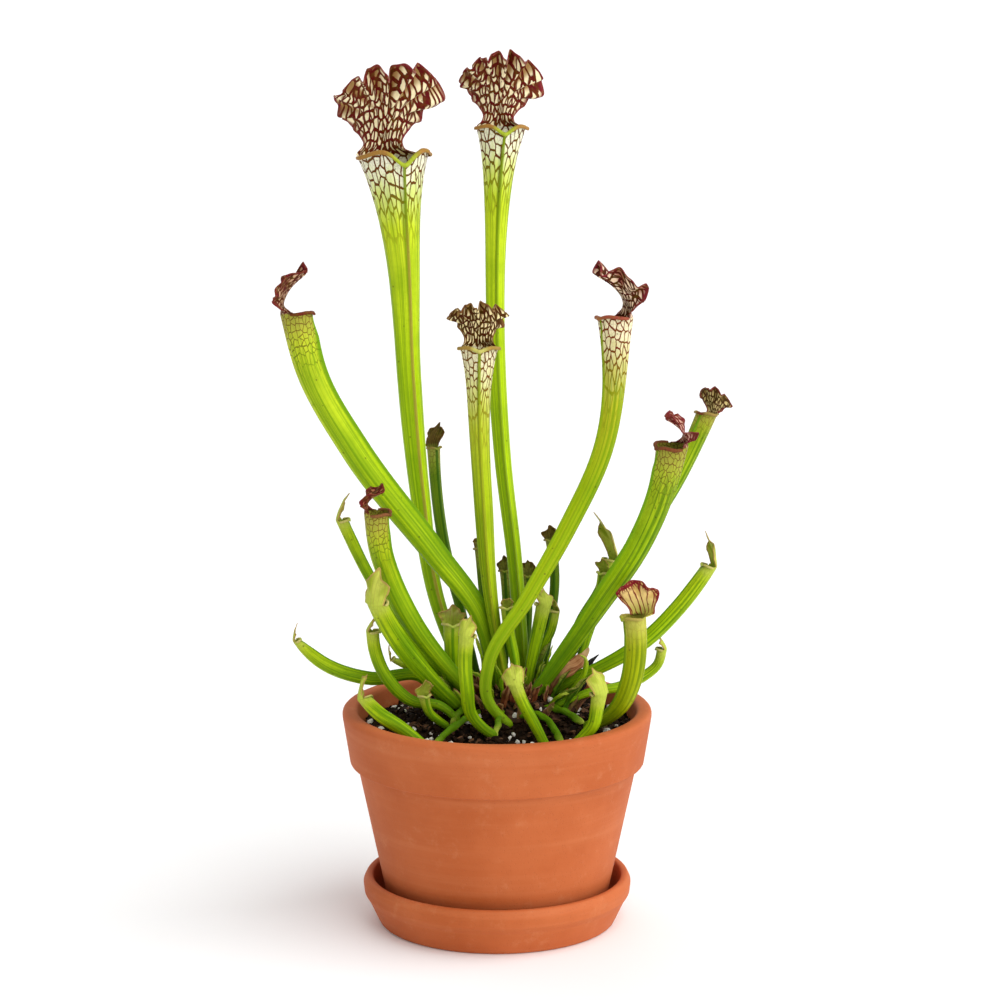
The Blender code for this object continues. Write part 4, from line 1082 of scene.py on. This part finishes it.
def makeTuft(skins):
    dice = random.Random(21)
    (cx, cy), (a, b) = ground["crown"], ground["crownHalf"]
    for k in range(tuft["blades"] + tuft["husks"]):
        isHusk = k >= tuft["blades"]
        shape = tuft["husk" if isHusk else "blade"]
        angle = dice.uniform(0, math.tau)
        d = dice.uniform(0.25, 1.0)
        x, y = cx + a * d * math.cos(angle), cy + b * d * math.sin(angle)
        way = Vector((math.cos(angle + dice.uniform(-0.6, 0.6)),
                      math.sin(angle + dice.uniform(-0.6, 0.6)), 0))
        far, high, size = (dice.uniform(*shape[key]) for key in ("far", "high", "size"))
        z = float(groundHeight(x, y))
        blade = dict(
            look="husk" if isHusk else dice.choice(["young", "shade", "young"]),
            faces=math.degrees(angle), widths=(size * 0.8, size, size * 0.6), flare=4,
            flat=shape["flat"],
            spine=[(x, y), (x + way.x * far * 0.5, y + way.y * far * 0.5, z + high * 0.65),
                   (x + way.x * far, y + way.y * far, z + high)])
        leafPiece(f"{'oldBract' if isHusk else 'shortBlade'}{k:02d}", blade, skins, dice)
    for k, spine in enumerate(tuft["petioles"]):
        stalk = dict(look="young", faces=90, widths=(3, 3.8, 3.6), flare=6, flat=0.8, spine=spine,
                     midTone=(0.10, 0.21, 0.002), topTone=(0.12, 0.23, 0.003))
        leafPiece(f"lowPetiole{k}", stalk, skins, dice)


# floor, light and camera

studio = dict(
    floor=(0.95, 0.95, 0.95), floorSize=60, world=0.56,
    cameraPlace=(0.0015, -1.72, 0.562), cameraPitch=11.21, lens=124.3,
    lamps=[     # direction that the light comes from, spread in degrees, strength
        ((1.5, -0.8, 1.25), 90, 3.0),
        ((-0.5, 1.0, 0.9), 60, 0.5),
    ],
)


def makeStudio():
    s = studio
    clearSelection()
    bpy.ops.mesh.primitive_plane_add(size=s["floorSize"], location=(0, 0, 0))
    floor = named("studioFloor")
    paint = Shader("paleFloor", Base_Color=s["floor"], Roughness=0.9)
    floor.data.materials.append(paint.material)
    world = bpy.data.worlds.new("softWhite")
    bpy.context.scene.world = world
    world.use_nodes = True
    world.node_tree.nodes["Background"].inputs["Color"].default_value = (1, 1, 1, 1)
    world.node_tree.nodes["Background"].inputs["Strength"].default_value = s["world"]
    for i, (source, spread, strength) in enumerate(s["lamps"]):
        lamp = bpy.data.lights.new(f"softLight{i}", "SUN")
        lamp.angle = math.radians(spread)
        lamp.energy = strength
        holder = bpy.data.objects.new(f"softLight{i}", lamp)
        bpy.context.collection.objects.link(holder)
        holder.rotation_euler = Vector(source).to_track_quat("Z", "Y").to_euler()
    camera = bpy.data.cameras.new("frontCamera")
    camera.lens = s["lens"]
    camera.sensor_width = 36
    camera.clip_start = 0.05
    holder = bpy.data.objects.new("frontCamera", camera)
    bpy.context.collection.objects.link(holder)
    holder.location = s["cameraPlace"]
    holder.rotation_euler = (math.radians(90 - s["cameraPitch"]), 0, 0)
    bpy.context.scene.camera = holder
    bpy.context.scene.view_settings.view_transform = "Standard"


makeStudio()
print("studio ready")
clay = terracotta()
makePot(clay)
makeSaucer(clay)
print("pot and saucer ready")
makeSoil()
makeChips()
makeRhizome()
makeStubs()
print("soil and rhizome ready")
leafSkins = {}
for number, (leafName, leafPlan) in enumerate(leaves.items()):
    leafPiece(leafName + "Leaf", leafPlan, leafSkins, random.Random(100 + number), nodeName(leafName))
print(f"{len(leaves)} leaves ready")

makeTuft(leafSkins)
print("blades and bracts ready")
